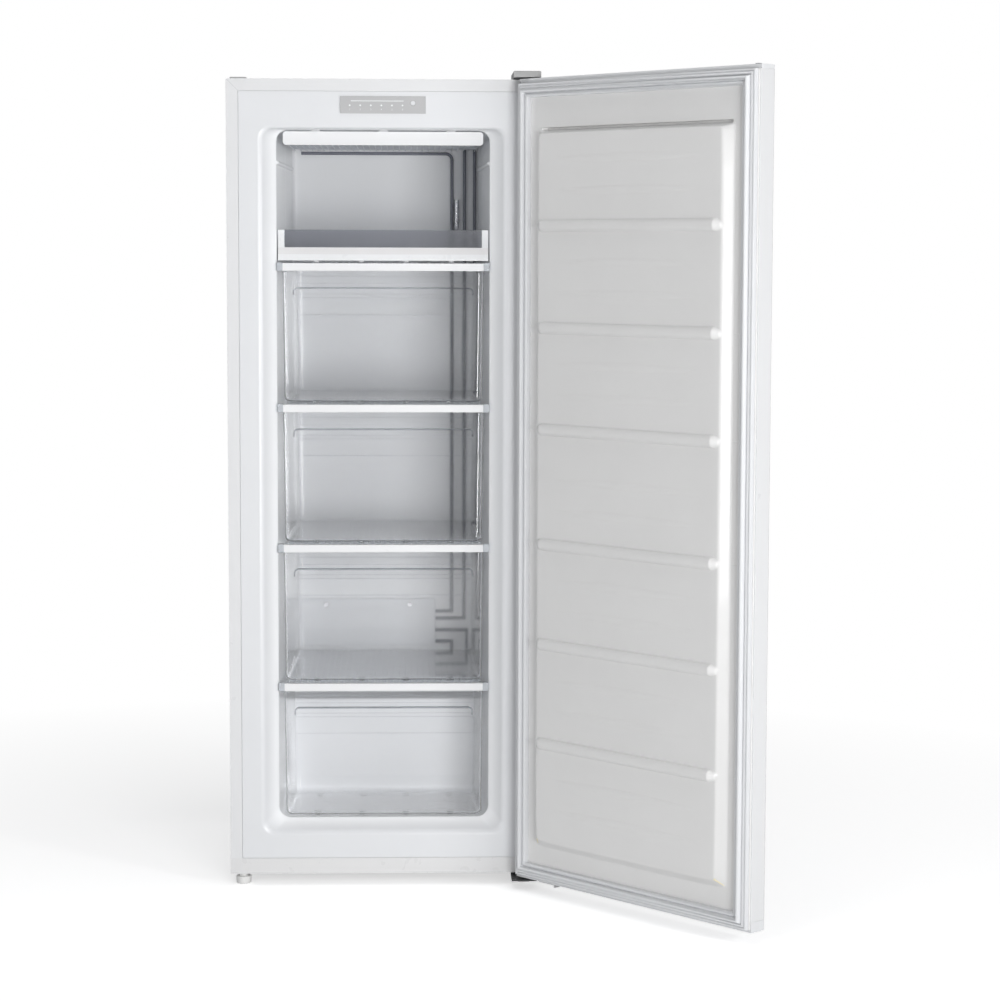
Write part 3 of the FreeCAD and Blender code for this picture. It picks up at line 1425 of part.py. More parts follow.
def plateau_form(kind, body, shrink):
    """The raised middle of the door's inside: wider at its root than at its face."""
    face = (
        f"-{PLATEAU_HALF}+{shrink}",
        f"{PLATEAU_HALF}-{shrink}",
        f"{PLATEAU_LOW}+{shrink}",
        f"{PLATEAU_HIGH}-{shrink}",
    )
    root = (
        f"-{PLATEAU_HALF}-plateau_slope+{shrink}",
        f"{PLATEAU_HALF}+plateau_slope-{shrink}",
        f"{PLATEAU_LOW}-plateau_slope+{shrink}",
        f"{PLATEAU_HIGH}+plateau_top_slope-{shrink}",
    )
    return primitive_wedge(body, kind, f"plateau_{kind}", root, face, DOOR_INNER, f"plateau_front-{shrink}")


LAND_FACE = f"({DOOR_INNER}+door_liner_gauge)"


def groove_form(kind, body, grow):
    """The deep groove across the land above the raised middle, grown by a wall where it is the outside."""
    points = [
        (LAND_FACE, f"{PLATEAU_HIGH}+plateau_top_slope-{grow}"),
        (f"{LAND_FACE}-groove_depth-{grow}", f"{PLATEAU_HIGH}+plateau_top_slope+1-{grow}"),
        (f"{LAND_FACE}-groove_depth-{grow}", f"{PLATEAU_HIGH}+groove_height-1+{grow}"),
        (LAND_FACE, f"{PLATEAU_HIGH}+groove_height+{grow}"),
    ]
    section = outline(body, "YZ_Plane", points, f"groove_section_{kind}")
    feature_kind = "PartDesign::Pad" if kind == "Additive" else "PartDesign::Pocket"
    feature = body.newObject(feature_kind, f"groove_{kind}")
    feature.Profile = section
    feature.Midplane = True
    section.Visibility = False
    return bind(feature, Length=f"2*({PLATEAU_HALF}+groove_side+{grow})")


def add_rib(body, number):
    """A rounded bar across the raised middle that thins out over both of its sides."""
    middle = f"(rib_first+{PLATEAU_LOW}+{number}*rib_pitch+{number // 3}*(rib_middle-rib_pitch))"
    crown = "(plateau_front+rib_proud)"
    buried = "(plateau_front-door_liner_gauge/2)"
    sections = (
        (f"{PLATEAU_HALF}+plateau_slope-2", f"{LAND_FACE}+1", f"{LAND_FACE}-door_liner_gauge/2", "0.12"),
        (f"{PLATEAU_HALF}-1", "(plateau_front+rib_shoulder)", f"{buried}-rib_shoulder", "0.7"),
        (f"{PLATEAU_HALF}-rib_run_out", crown, buried, "1"),
    )
    left_end = [(f"-({x})", y, foot, share) for x, y, foot, share in sections]
    levels = []
    for x, y, foot, share in left_end + list(sections[::-1]):
        half = f"rib_height/2*{share}"
        corners = [
            (foot, f"{middle}-{half}"),
            (f"({y}-rib_bevel*{share})", f"{middle}-{half}"),
            (y, f"{middle}-{half}+rib_bevel*{share}"),
            (y, f"{middle}+{half}-rib_bevel*{share}"),
            (f"({y}-rib_bevel*{share})", f"{middle}+{half}"),
            (foot, f"{middle}+{half}"),
        ]
        section = outline(body, "YZ_Plane", corners, f"rib_{number}_section")
        section.Visibility = False
        levels.append(bind(section, AttachmentOffset__Base__z=x))
    rib = body.newObject("PartDesign::AdditiveLoft", f"rib_{number}")
    rib.Profile = levels[0]
    rib.Sections = levels[1:]
    rib.Ruled = True
    return rib


# Door liner: moulded sheet with a flat land for the gasket, a raised middle, a groove and six ribs.
door_liner = body_of("door_liner")
LAND_SIDE = f"({CAB_SIDE}-door_land_margin)"
primitive_box(
    door_liner,
    "Additive",
    "land",
    (f"-{LAND_SIDE}", DOOR_INNER, f"{SKIN_BOTTOM}+1"),
    (LAND_SIDE, f"{DOOR_INNER}+door_liner_gauge", f"{SKIN_TOP}-1"),
)
groove_form("Additive", door_liner, "door_liner_gauge")
plateau_form("Additive", door_liner, "0")
for number in range(6):
    add_rib(door_liner, number)
groove_form("Subtractive", door_liner, "0")
plateau_form("Subtractive", door_liner, "door_liner_gauge")
door_node("door_liner", door_liner)

# Door foam: fills the skin and the raised middle behind the liner, between the two end caps.
door_foam = body_of("door_foam")
foam_slab = primitive_box(
    door_foam,
    "Additive",
    "slab",
    (f"-{CAB_SIDE}+sheet_gauge", f"{DOOR_OUTER}+sheet_gauge", f"{DOOR_BOTTOM}+bottom_rim+cap_plug"),
    (f"{CAB_SIDE}-sheet_gauge", f"{DOOR_INNER}-sheet_gauge", f"{DOOR_TOP}-top_rim-cap_plug"),
)
fillet(door_foam, foam_slab, front_upright_edges(size("sheet_gauge")), DOOR_INNER_BEND)
primitive_box(
    door_foam,
    "Additive",
    "middle",
    (f"-{CAB_SIDE}+door_return", f"{DOOR_OUTER}+sheet_gauge", f"{DOOR_BOTTOM}+bottom_rim+cap_plug"),
    (f"{CAB_SIDE}-door_return", DOOR_INNER, f"{DOOR_TOP}-top_rim-cap_plug"),
)
plateau_form("Additive", door_foam, "door_liner_gauge")
groove_form("Subtractive", door_foam, "door_liner_gauge")
door_node("door_foam", door_foam)

# Gasket: a soft fluted frame with mitred corners that presses on the cabinet's flange.
gasket = body_of("door_gasket")
GASKET_OUT = f"({CAB_SIDE}-gasket_side_margin)"
GASKET_LOW = f"({SKIN_BOTTOM}+gasket_end_margin)"
GASKET_HIGH = f"({SKIN_TOP}-gasket_end_margin)"
GASKET_BASE = f"({DOOR_INNER}+door_liner_gauge)"
path = gasket.newObject("Sketcher::SketchObject", "path")
path.AttachmentSupport = [(origin_plane(gasket, "XZ_Plane"), "")]
path.MapMode = "FlatFace"
loop = [
    ("0", GASKET_LOW),
    (GASKET_OUT, GASKET_LOW),
    (GASKET_OUT, GASKET_HIGH),
    (f"-{GASKET_OUT}", GASKET_HIGH),
    (f"-{GASKET_OUT}", GASKET_LOW),
]
loop_start = [Vector(x, y, 0) for x, y in ((0, -100), (100, -100), (100, 100), (-100, 100), (-100, -100))]
for i in range(5):
    path.addGeometry(Part.LineSegment(loop_start[i], loop_start[(i + 1) % 5]))
for i in range(5):
    path.addConstraint(Sketcher.Constraint("Coincident", i, 2, (i + 1) % 5, 1))
for i, (across, up) in enumerate(loop):
    start = loop_start[i]
    for kind, letter, value, text in (("DistanceX", "u", start.x, across), ("DistanceY", "v", start.y, up)):
        held = path.addConstraint(Sketcher.Constraint(kind, -1, 1, i, 1, value))
        path.renameConstraint(held, f"{letter}{i}")
        path.setExpression(f"Constraints.{letter}{i}", formula(text))
section = outline(
    gasket,
    "YZ_Plane",
    [
        (GASKET_BASE, GASKET_LOW),
        (f"{GASKET_BASE}+6", GASKET_LOW),
        ("-gasket_clear-5", f"{GASKET_LOW}+2"),
        ("-gasket_clear-3", f"{GASKET_LOW}+6"),
        ("-gasket_clear", f"{GASKET_LOW}+13"),
        ("-gasket_clear", f"{GASKET_LOW}+16"),
        ("-gasket_clear-5", f"{GASKET_LOW}+18"),
        ("-gasket_clear-5", f"{GASKET_LOW}+22"),
        ("-gasket_clear-7", f"{GASKET_LOW}+gasket_width"),
        (GASKET_BASE, f"{GASKET_LOW}+gasket_width-4"),
    ],
    "section",
)
sweep = gasket.newObject("PartDesign::AdditivePipe", "sweep")
sweep.Profile = section
sweep.Spine = path
sweep.Transition = "Right corner"
door_node("door_gasket", gasket)


# End caps: moulded pieces that close the skin at the top and bottom, each with a plug inside the sheet.
def cap_body(name, rim, plug, ear):
    """A cap between given heights: the rim that shows, the plug inside the sheet and two ears outside it."""
    cap = body_of(name)
    plug_block = primitive_box(
        cap,
        "Additive",
        "plug",
        (f"-{CAB_SIDE}+sheet_gauge", f"{DOOR_OUTER}+sheet_gauge", plug[0]),
        (f"{CAB_SIDE}-sheet_gauge", f"{DOOR_INNER}-sheet_gauge", plug[1]),
    )
    fillet(cap, plug_block, front_upright_edges(size("sheet_gauge")), DOOR_INNER_BEND, "plug_bend")
    rim_block = primitive_box(
        cap, "Additive", "rim", (f"-{CAB_SIDE}", DOOR_OUTER, rim[0]), (CAB_SIDE, DOOR_INNER, rim[1])
    )
    fillet(cap, rim_block, front_upright_edges(0), "door_bend", "rim_bend")
    ear_front = f"{DOOR_OUTER}+door_bend"
    for mark, near, far in (
        ("left", f"-{CAB_SIDE}-ear_gauge", f"-{CAB_SIDE}"),
        ("right", CAB_SIDE, f"{CAB_SIDE}+ear_gauge"),
    ):
        primitive_box(cap, "Additive", f"ear_{mark}", (near, ear_front, ear[0]), (far, DOOR_INNER, ear[1]))
    return cap


BUSH_RADIUS = "(pin_radius+pin_clear+bush_wall)"
TOP_RIM_LOW = f"({DOOR_TOP}-top_rim)"
BOTTOM_RIM_HIGH = f"({DOOR_BOTTOM}+bottom_rim)"
top_blocks = cap_body(
    "top_cap_blocks",
    (TOP_RIM_LOW, DOOR_TOP),
    (f"{TOP_RIM_LOW}-cap_plug", TOP_RIM_LOW),
    (f"{DOOR_TOP}-top_ear", DOOR_TOP),
)
top_bores = [
    cylinder("top_bush_bore", BUSH_RADIUS, "pin_reach+2", PIN_X, PIN_Y, f"{DOOR_TOP}-pin_reach-1"),
    cylinder("top_spare_bore", "plug_radius-1.5", "pin_reach+1", f"-{PIN_X}", PIN_Y, f"{DOOR_TOP}-pin_reach"),
]
door_node("door_top_cap", cut("door_top_cap", top_blocks, *top_bores))
bottom_blocks = cap_body(
    "bottom_cap_blocks",
    (DOOR_BOTTOM, BOTTOM_RIM_HIGH),
    (BOTTOM_RIM_HIGH, f"{BOTTOM_RIM_HIGH}+cap_plug"),
    (DOOR_BOTTOM, f"{DOOR_BOTTOM}+bottom_ear"),
)
bottom_bore = cylinder("bottom_bush_bore", BUSH_RADIUS, "pin_reach+2", PIN_X, PIN_Y, f"{DOOR_BOTTOM}-1")
door_node("door_bottom_cap", cut("door_bottom_cap", bottom_blocks, bottom_bore))

# Hinge bushes: plastic sleeves in the end caps that turn on the two pins.
bushes = []
for mark, low in (("top", f"{DOOR_TOP}-pin_reach-1"), ("bottom", DOOR_BOTTOM)):
    sleeve = cylinder(f"{mark}_sleeve", BUSH_RADIUS, "pin_reach+1", PIN_X, PIN_Y, low)
    bore = cylinder(f"{mark}_sleeve_bore", "pin_radius+pin_clear", "pin_reach+5", PIN_X, PIN_Y, f"{low}-2")
    bushes.append(cut(f"{mark}_bush", sleeve, bore))
door_node("door_bushes", group("door_bushes", *bushes))

# Hole plug: closes the spare hinge hole at the free end of the top cap.
plug_head = cylinder("plug_head", "plug_radius", "plug_proud", f"-{PIN_X}", PIN_Y, DOOR_TOP)
plug_stem = cylinder("plug_stem", "plug_radius-1.5", "8", f"-{PIN_X}", PIN_Y, f"{DOOR_TOP}-8")
door_node("door_hole_plug", fuse("door_hole_plug", plug_head, plug_stem))

# Door stop: a flat plate screwed under the bottom cap beside the hinge, its far end turned down.
stop_right = f"({PIN_X}-bracket_inner-stop_gap)"
stop_plate = box(
    "stop_plate",
    (f"{stop_right}-stop_width", f"{PIN_Y}-stop_depth/2", f"{DOOR_BOTTOM}-stop_height"),
    (stop_right, f"{PIN_Y}+stop_depth/2", DOOR_BOTTOM),
)
stop_lip = box(
    "stop_lip",
    (f"{stop_right}-stop_width", f"{PIN_Y}-stop_depth/2", f"{DOOR_BOTTOM}-stop_height-stop_lip"),
    (f"{stop_right}-stop_width+stop_lip_gauge", f"{PIN_Y}+stop_depth/2", f"{DOOR_BOTTOM}-stop_height"),
)
door_node("door_stop", fuse("door_stop", stop_plate, stop_lip))

doc.recompute()
faults = [item.Name for item in doc.Objects if {"Invalid", "Error"} & set(item.State)]
if faults:
    raise RuntimeError(f"objects that failed: {faults}")
for item in nodes:
    if item.Shape.isNull() or not item.Shape.isValid() or not item.Shape.Solids:
        raise RuntimeError(f"{item.Label} has no valid solid")
for item in nodes:
    item.Shape.exportStep(f"parts/{item.Label}.step")
print(len(nodes), "nodes,", sum(len(item.Shape.Solids) for item in nodes), "solids")
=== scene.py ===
import json
import math

import bmesh
import bpy
from mathutils import Matrix, Vector

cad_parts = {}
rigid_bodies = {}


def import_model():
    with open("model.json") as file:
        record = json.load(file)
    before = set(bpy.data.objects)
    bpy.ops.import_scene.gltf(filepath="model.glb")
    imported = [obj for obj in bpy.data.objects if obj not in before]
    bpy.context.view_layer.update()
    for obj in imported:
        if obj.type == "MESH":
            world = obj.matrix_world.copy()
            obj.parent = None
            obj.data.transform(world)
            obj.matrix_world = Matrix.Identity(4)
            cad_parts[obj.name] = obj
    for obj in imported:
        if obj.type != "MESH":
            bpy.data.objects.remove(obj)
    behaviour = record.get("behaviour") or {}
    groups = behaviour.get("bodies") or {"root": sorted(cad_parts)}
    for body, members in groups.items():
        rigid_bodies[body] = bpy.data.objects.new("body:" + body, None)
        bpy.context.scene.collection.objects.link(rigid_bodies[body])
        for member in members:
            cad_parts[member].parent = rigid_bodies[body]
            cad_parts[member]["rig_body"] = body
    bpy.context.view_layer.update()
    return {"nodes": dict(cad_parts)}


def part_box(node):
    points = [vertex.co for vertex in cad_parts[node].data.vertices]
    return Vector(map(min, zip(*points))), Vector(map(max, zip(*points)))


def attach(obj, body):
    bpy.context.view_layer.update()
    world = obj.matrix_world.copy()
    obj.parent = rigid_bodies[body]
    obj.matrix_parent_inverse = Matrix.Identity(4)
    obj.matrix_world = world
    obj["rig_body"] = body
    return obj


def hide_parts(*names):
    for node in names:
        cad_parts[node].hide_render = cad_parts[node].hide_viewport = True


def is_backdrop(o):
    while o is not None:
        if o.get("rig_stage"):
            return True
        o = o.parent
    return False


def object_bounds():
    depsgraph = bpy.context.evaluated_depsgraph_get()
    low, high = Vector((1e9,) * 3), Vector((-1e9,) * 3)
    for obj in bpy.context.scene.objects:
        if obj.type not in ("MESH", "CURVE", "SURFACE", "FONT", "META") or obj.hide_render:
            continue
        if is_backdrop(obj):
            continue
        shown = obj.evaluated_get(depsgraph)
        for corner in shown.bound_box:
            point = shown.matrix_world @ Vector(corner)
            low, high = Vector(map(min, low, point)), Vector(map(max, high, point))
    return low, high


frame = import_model()

# --- Camera: stands in front of the freezer at about eye height and looks slightly down on it.
CAMERA_PLACE = (0.0451, -4.658, 1.1372)
CAMERA_TURN = -1.996
CAMERA_TILT = -5.394
CAMERA_ROLL = 0.169
CAMERA_LENS = 94.64
camera_data = bpy.data.cameras.new("camera")
camera_data.sensor_width = 36
camera_data.lens = CAMERA_LENS
camera = bpy.data.objects.new("camera", camera_data)
bpy.context.scene.collection.objects.link(camera)
camera.location = CAMERA_PLACE
turn_aim = Matrix.Rotation(math.radians(CAMERA_TURN), 3, "Z")
tilt_aim = Matrix.Rotation(math.radians(90 + CAMERA_TILT), 3, "X")
roll_aim = Matrix.Rotation(math.radians(CAMERA_ROLL), 3, "Z")
camera.rotation_euler = (turn_aim @ tilt_aim @ roll_aim).to_euler()
bpy.context.scene.camera = camera
bpy.context.scene.view_settings.view_transform = "Standard"


# --- Studio: an even pale sky that is white to the camera, four soft lamps,
# and a floor that holds the freezer's soft shadow and turns pure white away from it.
def add_node(tree, kind, inputs=None, **settings):
    """Adds a shader node; an input given as a socket is linked, and any other is set as a value."""
    node = tree.nodes.new("ShaderNode" + kind)
    for key, value in settings.items():
        setattr(node, key, value)
    for key, value in (inputs or {}).items():
        if isinstance(value, bpy.types.NodeSocket):
            tree.links.new(value, node.inputs[key])
        else:
            node.inputs[key].default_value = value
    return node


def calc(tree, operation, first, second=0.0, clamp=False):
    return add_node(tree, "Math", {0: first, 1: second}, operation=operation, use_clamp=clamp).outputs[0]


def blend_colors(tree, factor, first, second):
    mixer = tree.nodes.new("ShaderNodeMix")
    mixer.data_type = "RGBA"
    for socket, value in ((mixer.inputs[0], factor), (mixer.inputs[6], first), (mixer.inputs[7], second)):
        if isinstance(value, bpy.types.NodeSocket):
            tree.links.new(value, socket)
        else:
            socket.default_value = value
    return mixer.outputs[2]


SKY_GREY = (0.25, 0.252, 0.256, 1)
WHITE = (1, 1, 1, 1)
sky = bpy.data.worlds.new("studio_sky")
sky.use_nodes = True
bpy.context.scene.world = sky
sky_path = add_node(sky.node_tree, "LightPath")
sky_color = blend_colors(sky.node_tree, sky_path.outputs["Is Camera Ray"], SKY_GREY, WHITE)
sky.node_tree.links.new(sky_color, sky.node_tree.nodes["Background"].inputs["Color"])

for name, place, lamp_size, power in (
    ("front_lamp", (1.40, -4.7, 0.7), 1.5, 98),
    ("left_lamp", (-2.6, -3.4, 1.1), 2.4, 26),
    ("right_lamp", (2.46, -2.36, 1.1), 0.4, 22),
    ("top_lamp", (0.1, -0.9, 4.0), 2.6, 26),
):
    lamp_data = bpy.data.lights.new(name, "AREA")
    lamp_data.size = lamp_size
    lamp_data.energy = power
    lamp = bpy.data.objects.new(name, lamp_data)
    bpy.context.scene.collection.objects.link(lamp)
    lamp.location = place
    lamp.rotation_euler = (Vector((0, 0.1, 0.7)) - Vector(place)).to_track_quat("-Z", "Y").to_euler()

FLOOR_HALF = 9.0
FLOOR_NEAR = 0.75
FLOOR_FADE = 1.3
FLOOR_LIFT = 0.52
floor_mesh = bpy.data.meshes.new("studio_floor")
floor_corners = [(FLOOR_HALF * x, FLOOR_HALF * y, 0) for x, y in ((-1, -1), (1, -1), (1, 1), (-1, 1))]
floor_mesh.from_pydata(floor_corners, [], [(0, 1, 2, 3)])
floor = bpy.data.objects.new("studio_floor", floor_mesh)
bpy.context.scene.collection.objects.link(floor)
floor_paint = bpy.data.materials.new("studio_floor")
floor_paint.use_nodes = True
floor_tree = floor_paint.node_tree
floor_shader = floor_tree.nodes["Principled BSDF"]
floor_shader.inputs["Base Color"].default_value = (0.93, 0.93, 0.93, 1)
floor_shader.inputs["Roughness"].default_value = 0.9
floor_shader.inputs["Specular IOR Level"].default_value = 0.0
floor_place = add_node(floor_tree, "TexCoord")
floor_far = add_node(floor_tree, "VectorMath", {0: floor_place.outputs["Object"]}, operation="LENGTH")
past_near = calc(floor_tree, "SUBTRACT", floor_far.outputs["Value"], FLOOR_NEAR)
floor_fade = calc(floor_tree, "DIVIDE", past_near, FLOOR_FADE, True)
floor_path = add_node(floor_tree, "LightPath")
floor_white = calc(floor_tree, "MULTIPLY", floor_fade, floor_path.outputs["Is Camera Ray"])
floor_glow = add_node(floor_tree, "Emission", {"Color": WHITE, "Strength": 1.0})
lift_strength = calc(floor_tree, "MULTIPLY", FLOOR_LIFT, floor_path.outputs["Is Camera Ray"])
floor_lift = add_node(floor_tree, "Emission", {"Color": WHITE, "Strength": lift_strength})
floor_near = add_node(floor_tree, "AddShader", {0: floor_shader.outputs[0], 1: floor_lift.outputs[0]})
floor_layers = {0: floor_white, 1: floor_near.outputs[0], 2: floor_glow.outputs[0]}
floor_mix = add_node(floor_tree, "MixShader", floor_layers)
floor_tree.links.new(floor_mix.outputs[0], floor_tree.nodes["Material Output"].inputs["Surface"])
floor_mesh.materials.append(floor_paint)
floor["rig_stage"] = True


# --- Outer shell: one sheet of steel bent over both sides and the top, painted gloss white.
# Its front flange is folded in and meets in a fine mitre at each top corner.
def shader_group(name, inputs, outputs):
    """A node group with number inputs; returns it with its input node and output node."""
    group = bpy.data.node_groups.new(name, "ShaderNodeTree")
    for label, value in inputs:
        group.interface.new_socket(label, in_out="INPUT", socket_type="NodeSocketFloat").default_value = value
    for label, kind in outputs:
        group.interface.new_socket(label, in_out="OUTPUT", socket_type="NodeSocket" + kind)
    return group, group.nodes.new("NodeGroupInput"), group.nodes.new("NodeGroupOutput")


def noise(tree, scale, detail, **more):
    """Noise laid over the object's own coordinates."""
    spot = add_node(tree, "TexCoord").outputs["Object"]
    return add_node(tree, "TexNoise", {"Vector": spot, "Scale": scale, "Detail": detail, **more}).outputs[0]


def ranged(tree, value, low, high, top=1.0):
    """A value between two limits, spread from 0 to a top."""
    return add_node(tree, "MapRange", {0: value, 1: low, 2: high, 4: top}).outputs[0]


def axes_of(tree):
    """The object's own X, Y and Z as separate values."""
    return add_node(tree, "SeparateXYZ", {0: add_node(tree, "TexCoord").outputs["Object"]}).outputs


def tint_over(paint, mask, color):
    """Lays a colour over a paint's own, as far as a mask goes."""
    base = paint.node_tree.nodes["Principled BSDF"].inputs["Base Color"]
    mixed = blend_colors(paint.node_tree, mask, base.links[0].from_socket, (*color, 1))
    paint.node_tree.links.new(mixed, base)


surface_group, ends_in, ends_out = shader_group(
    "fine_surface",
    (("Scale", 500.0), ("Grain", 0.00001), ("Ripple", 0.0001)),
    (("Tone", "Float"), ("Gloss", "Float"), ("Normal", "Vector")),
)
grain_noise = noise(surface_group, ends_in.outputs["Scale"], 3.0)
broad_noise = noise(surface_group, 9.0, 4.0)
smear_noise = noise(surface_group, 38.0, 5.0, Distortion=0.6)
grain_height = calc(surface_group, "MULTIPLY", grain_noise, ends_in.outputs["Grain"])
ripple_height = calc(surface_group, "MULTIPLY", broad_noise, ends_in.outputs["Ripple"])
height = calc(surface_group, "ADD", grain_height, ripple_height)
bump = add_node(surface_group, "Bump", {"Strength": 1.0, "Distance": 1.0, "Height": height})
tone = calc(surface_group, "MULTIPLY_ADD", ranged(surface_group, broad_noise, 0.35, 0.68), 0.5)
surface_group.links.new(ranged(surface_group, grain_noise, 0.3, 0.7, 0.5), tone.node.inputs[2])
gloss = ranged(surface_group, smear_noise, 0.3, 0.7)
for label, socket in (("Tone", tone), ("Gloss", gloss), ("Normal", bump.outputs[0])):
    surface_group.links.new(socket, ends_out.inputs[label])

wear_group, ends_in, ends_out = shader_group(
    "edge_rub", (("Reach", 0.001), ("Patch", 60.0)), (("Mask", "Float"),)
)
rounded = add_node(wear_group, "Bevel", {"Radius": ends_in.outputs["Reach"]}, samples=3)
flat = add_node(wear_group, "NewGeometry")
both_normals = {0: rounded.outputs[0], 1: flat.outputs["Normal"]}
turn = add_node(wear_group, "VectorMath", both_normals, operation="DOT_PRODUCT")
edge = ranged(wear_group, turn.outputs["Value"], 0.985, 0.86)
patches = ranged(wear_group, noise(wear_group, ends_in.outputs["Patch"], 4.0), 0.45, 0.62)
wear_group.links.new(calc(wear_group, "MULTIPLY", edge, patches), ends_out.inputs["Mask"])

dust_group, ends_in, ends_out = shader_group("settled_dust", (("Amount", 0.3),), (("Mask", "Float"),))
facing = add_node(dust_group, "NewGeometry")
upward = add_node(dust_group, "SeparateXYZ", {0: facing.outputs["Normal"]})
level = ranged(dust_group, upward.outputs["Z"], 0.55, 1.0)
specks = ranged(dust_group, noise(dust_group, 240.0, 6.0, Roughness=0.7), 0.4, 0.75)
settled = calc(dust_group, "MULTIPLY", calc(dust_group, "MULTIPLY", level, specks), ends_in.outputs["Amount"])
dust_group.links.new(settled, ends_out.inputs["Mask"])


def finish(
    name, color, shade, roughness, scale=700.0, grain=0.00001, ripple=0.0, rub=None, dust=0.0, **shader_values
):
    """A material that varies between two colours, with bumps, uneven gloss, rubbed edges and dust."""
    paint = bpy.data.materials.new(name)
    paint.use_nodes = True
    tree = paint.node_tree
    shader = tree.nodes["Principled BSDF"]
    surface = add_node(tree, "Group", node_tree=surface_group)
    for label, value in (("Scale", scale), ("Grain", grain), ("Ripple", ripple)):
        surface.inputs[label].default_value = value
    base = blend_colors(tree, surface.outputs["Tone"], (*color, 1), (*shade, 1))
    rough = calc(tree, "MULTIPLY_ADD", surface.outputs["Gloss"], roughness * 0.35)
    rough.node.inputs[2].default_value = roughness * 0.85
    if rub:
        worn = add_node(tree, "Group", node_tree=wear_group)
        base = blend_colors(tree, worn.outputs["Mask"], base, (*rub, 1))
    if dust:
        dusty = add_node(tree, "Group", node_tree=dust_group)
        dusty.inputs["Amount"].default_value = dust
        base = blend_colors(tree, dusty.outputs["Mask"], base, (0.62, 0.60, 0.57, 1))
        rough = calc(tree, "ADD", rough, dusty.outputs["Mask"], True)
    tree.links.new(base, shader.inputs["Base Color"])
    tree.links.new(rough, shader.inputs["Roughness"])
    tree.links.new(surface.outputs["Normal"], shader.inputs["Normal"])
    for label, value in shader_values.items():
        shader.inputs[label.replace("_", " ")].default_value = value
    return paint


def add_piece(name, form, body, paints, replaced=(), paint_of=None, sharp=35):
    """Turns a form into a shown piece with its paints, carried by a body and standing for nodes."""
    if paint_of:
        for face in form.faces:
            face.material_index = paint_of(face)
    bmesh.ops.recalc_face_normals(form, faces=form.faces)
    mesh = bpy.data.meshes.new(name)
    form.to_mesh(mesh)
    form.free()
    mesh.polygons.foreach_set("use_smooth", [True] * len(mesh.polygons))
    mesh.set_sharp_from_angle(angle=math.radians(sharp))
    for paint in paints:
        mesh.materials.append(paint)
    piece = bpy.data.objects.new(name, mesh)
    bpy.context.scene.collection.objects.link(piece)
    even = piece.modifiers.new("even_shading", "WEIGHTED_NORMAL")
    even.keep_sharp = True
    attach(piece, body)
    if replaced:
        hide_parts(*replaced)
    return piece


def node_form(node_name):
    """A node's own form as an editable copy, with its triangles joined into whole faces."""
    form = bmesh.new()
    form.from_mesh(frame["nodes"][node_name].data)
    bmesh.ops.remove_doubles(form, verts=form.verts, dist=0.00001)
    bmesh.ops.dissolve_limit(form, angle_limit=math.radians(1), verts=form.verts, edges=form.edges)
    return form


def dress(node_name, paints, width=0.0004, paint_of=None, steps=2, limit=30):
    """A piece with a node's exact form, whose hard edges are rounded over by a width."""
    form = node_form(node_name)
    if width:
        solid = [edge for edge in form.edges if edge.is_manifold]
        hard = [edge for edge in solid if edge.calc_face_angle(0) > math.radians(limit)]
        bmesh.ops.bevel(
            form, geom=hard, offset=width, segments=steps, affect="EDGES", profile=0.5, clamp_overlap=True
        )
    body = frame["nodes"][node_name]["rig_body"]
    return add_piece(node_name + "_form", form, body, paints, (node_name,), paint_of)


white_paint = finish(
    "white_paint", (0.76, 0.765, 0.775), (0.745, 0.75, 0.76), 0.32, 420.0, 0.000005, 0.00002,
    (0.745, 0.75, 0.755), 0.12, Coat_Weight=0.3, Coat_Roughness=0.15,
)
MITRE_WIDTH, FRONT_SKIN = 0.0005, 0.0003
shell_tree = white_paint.node_tree
shell_place = axes_of(shell_tree)
shell_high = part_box("outer_shell")[1]
from_side = calc(shell_tree, "SUBTRACT", shell_high.x, calc(shell_tree, "ABSOLUTE", shell_place["X"]))
from_top = calc(shell_tree, "SUBTRACT", shell_high.z, shell_place["Z"])
off_mitre = calc(shell_tree, "ABSOLUTE", calc(shell_tree, "SUBTRACT", from_side, from_top))
mitre_line = calc(shell_tree, "SUBTRACT", 1.0, calc(shell_tree, "DIVIDE", off_mitre, MITRE_WIDTH), True)
at_front = calc(shell_tree, "LESS_THAN", shell_place["Y"], FRONT_SKIN)
tint_over(white_paint, calc(shell_tree, "MULTIPLY", mitre_line, at_front), (0.42, 0.43, 0.45))
dress("outer_shell", [white_paint], 0.00025)

# --- Bottom panel: the painted front rail under the opening, folded back below the insulated box.
rail_paint = finish(
    "rail_paint", (0.745, 0.745, 0.745), (0.72, 0.72, 0.725), 0.3, 420.0, 0.000006, 0.00005,
    (0.6, 0.6, 0.6), 0.2,
)
dress("bottom_panel", [rail_paint], 0.00025)

# --- Bulkhead, back panel and base tray: bare galvanised sheet, which shows the spangle of its zinc.
zinc = finish(
    "zinc_sheet", (0.55, 0.56, 0.57), (0.47, 0.48, 0.50), 0.42, 300.0, 0.000006, 0.0003,
    dust=0.35, Metallic=0.75,
)
zinc_tree = zinc.node_tree
zinc_spot = add_node(zinc_tree, "TexCoord").outputs["Object"]
spangle = add_node(zinc_tree, "TexVoronoi", {"Vector": zinc_spot, "Scale": 85.0})
flake = add_node(zinc_tree, "SeparateColor", {0: spangle.outputs["Color"]})
tint_over(zinc, calc(zinc_tree, "MULTIPLY", flake.outputs[0], 0.45), (0.66, 0.67, 0.69))
for node_name in ("compressor_bulkhead", "back_panel", "base_tray"):
    dress(node_name, [zinc], 0.0002)


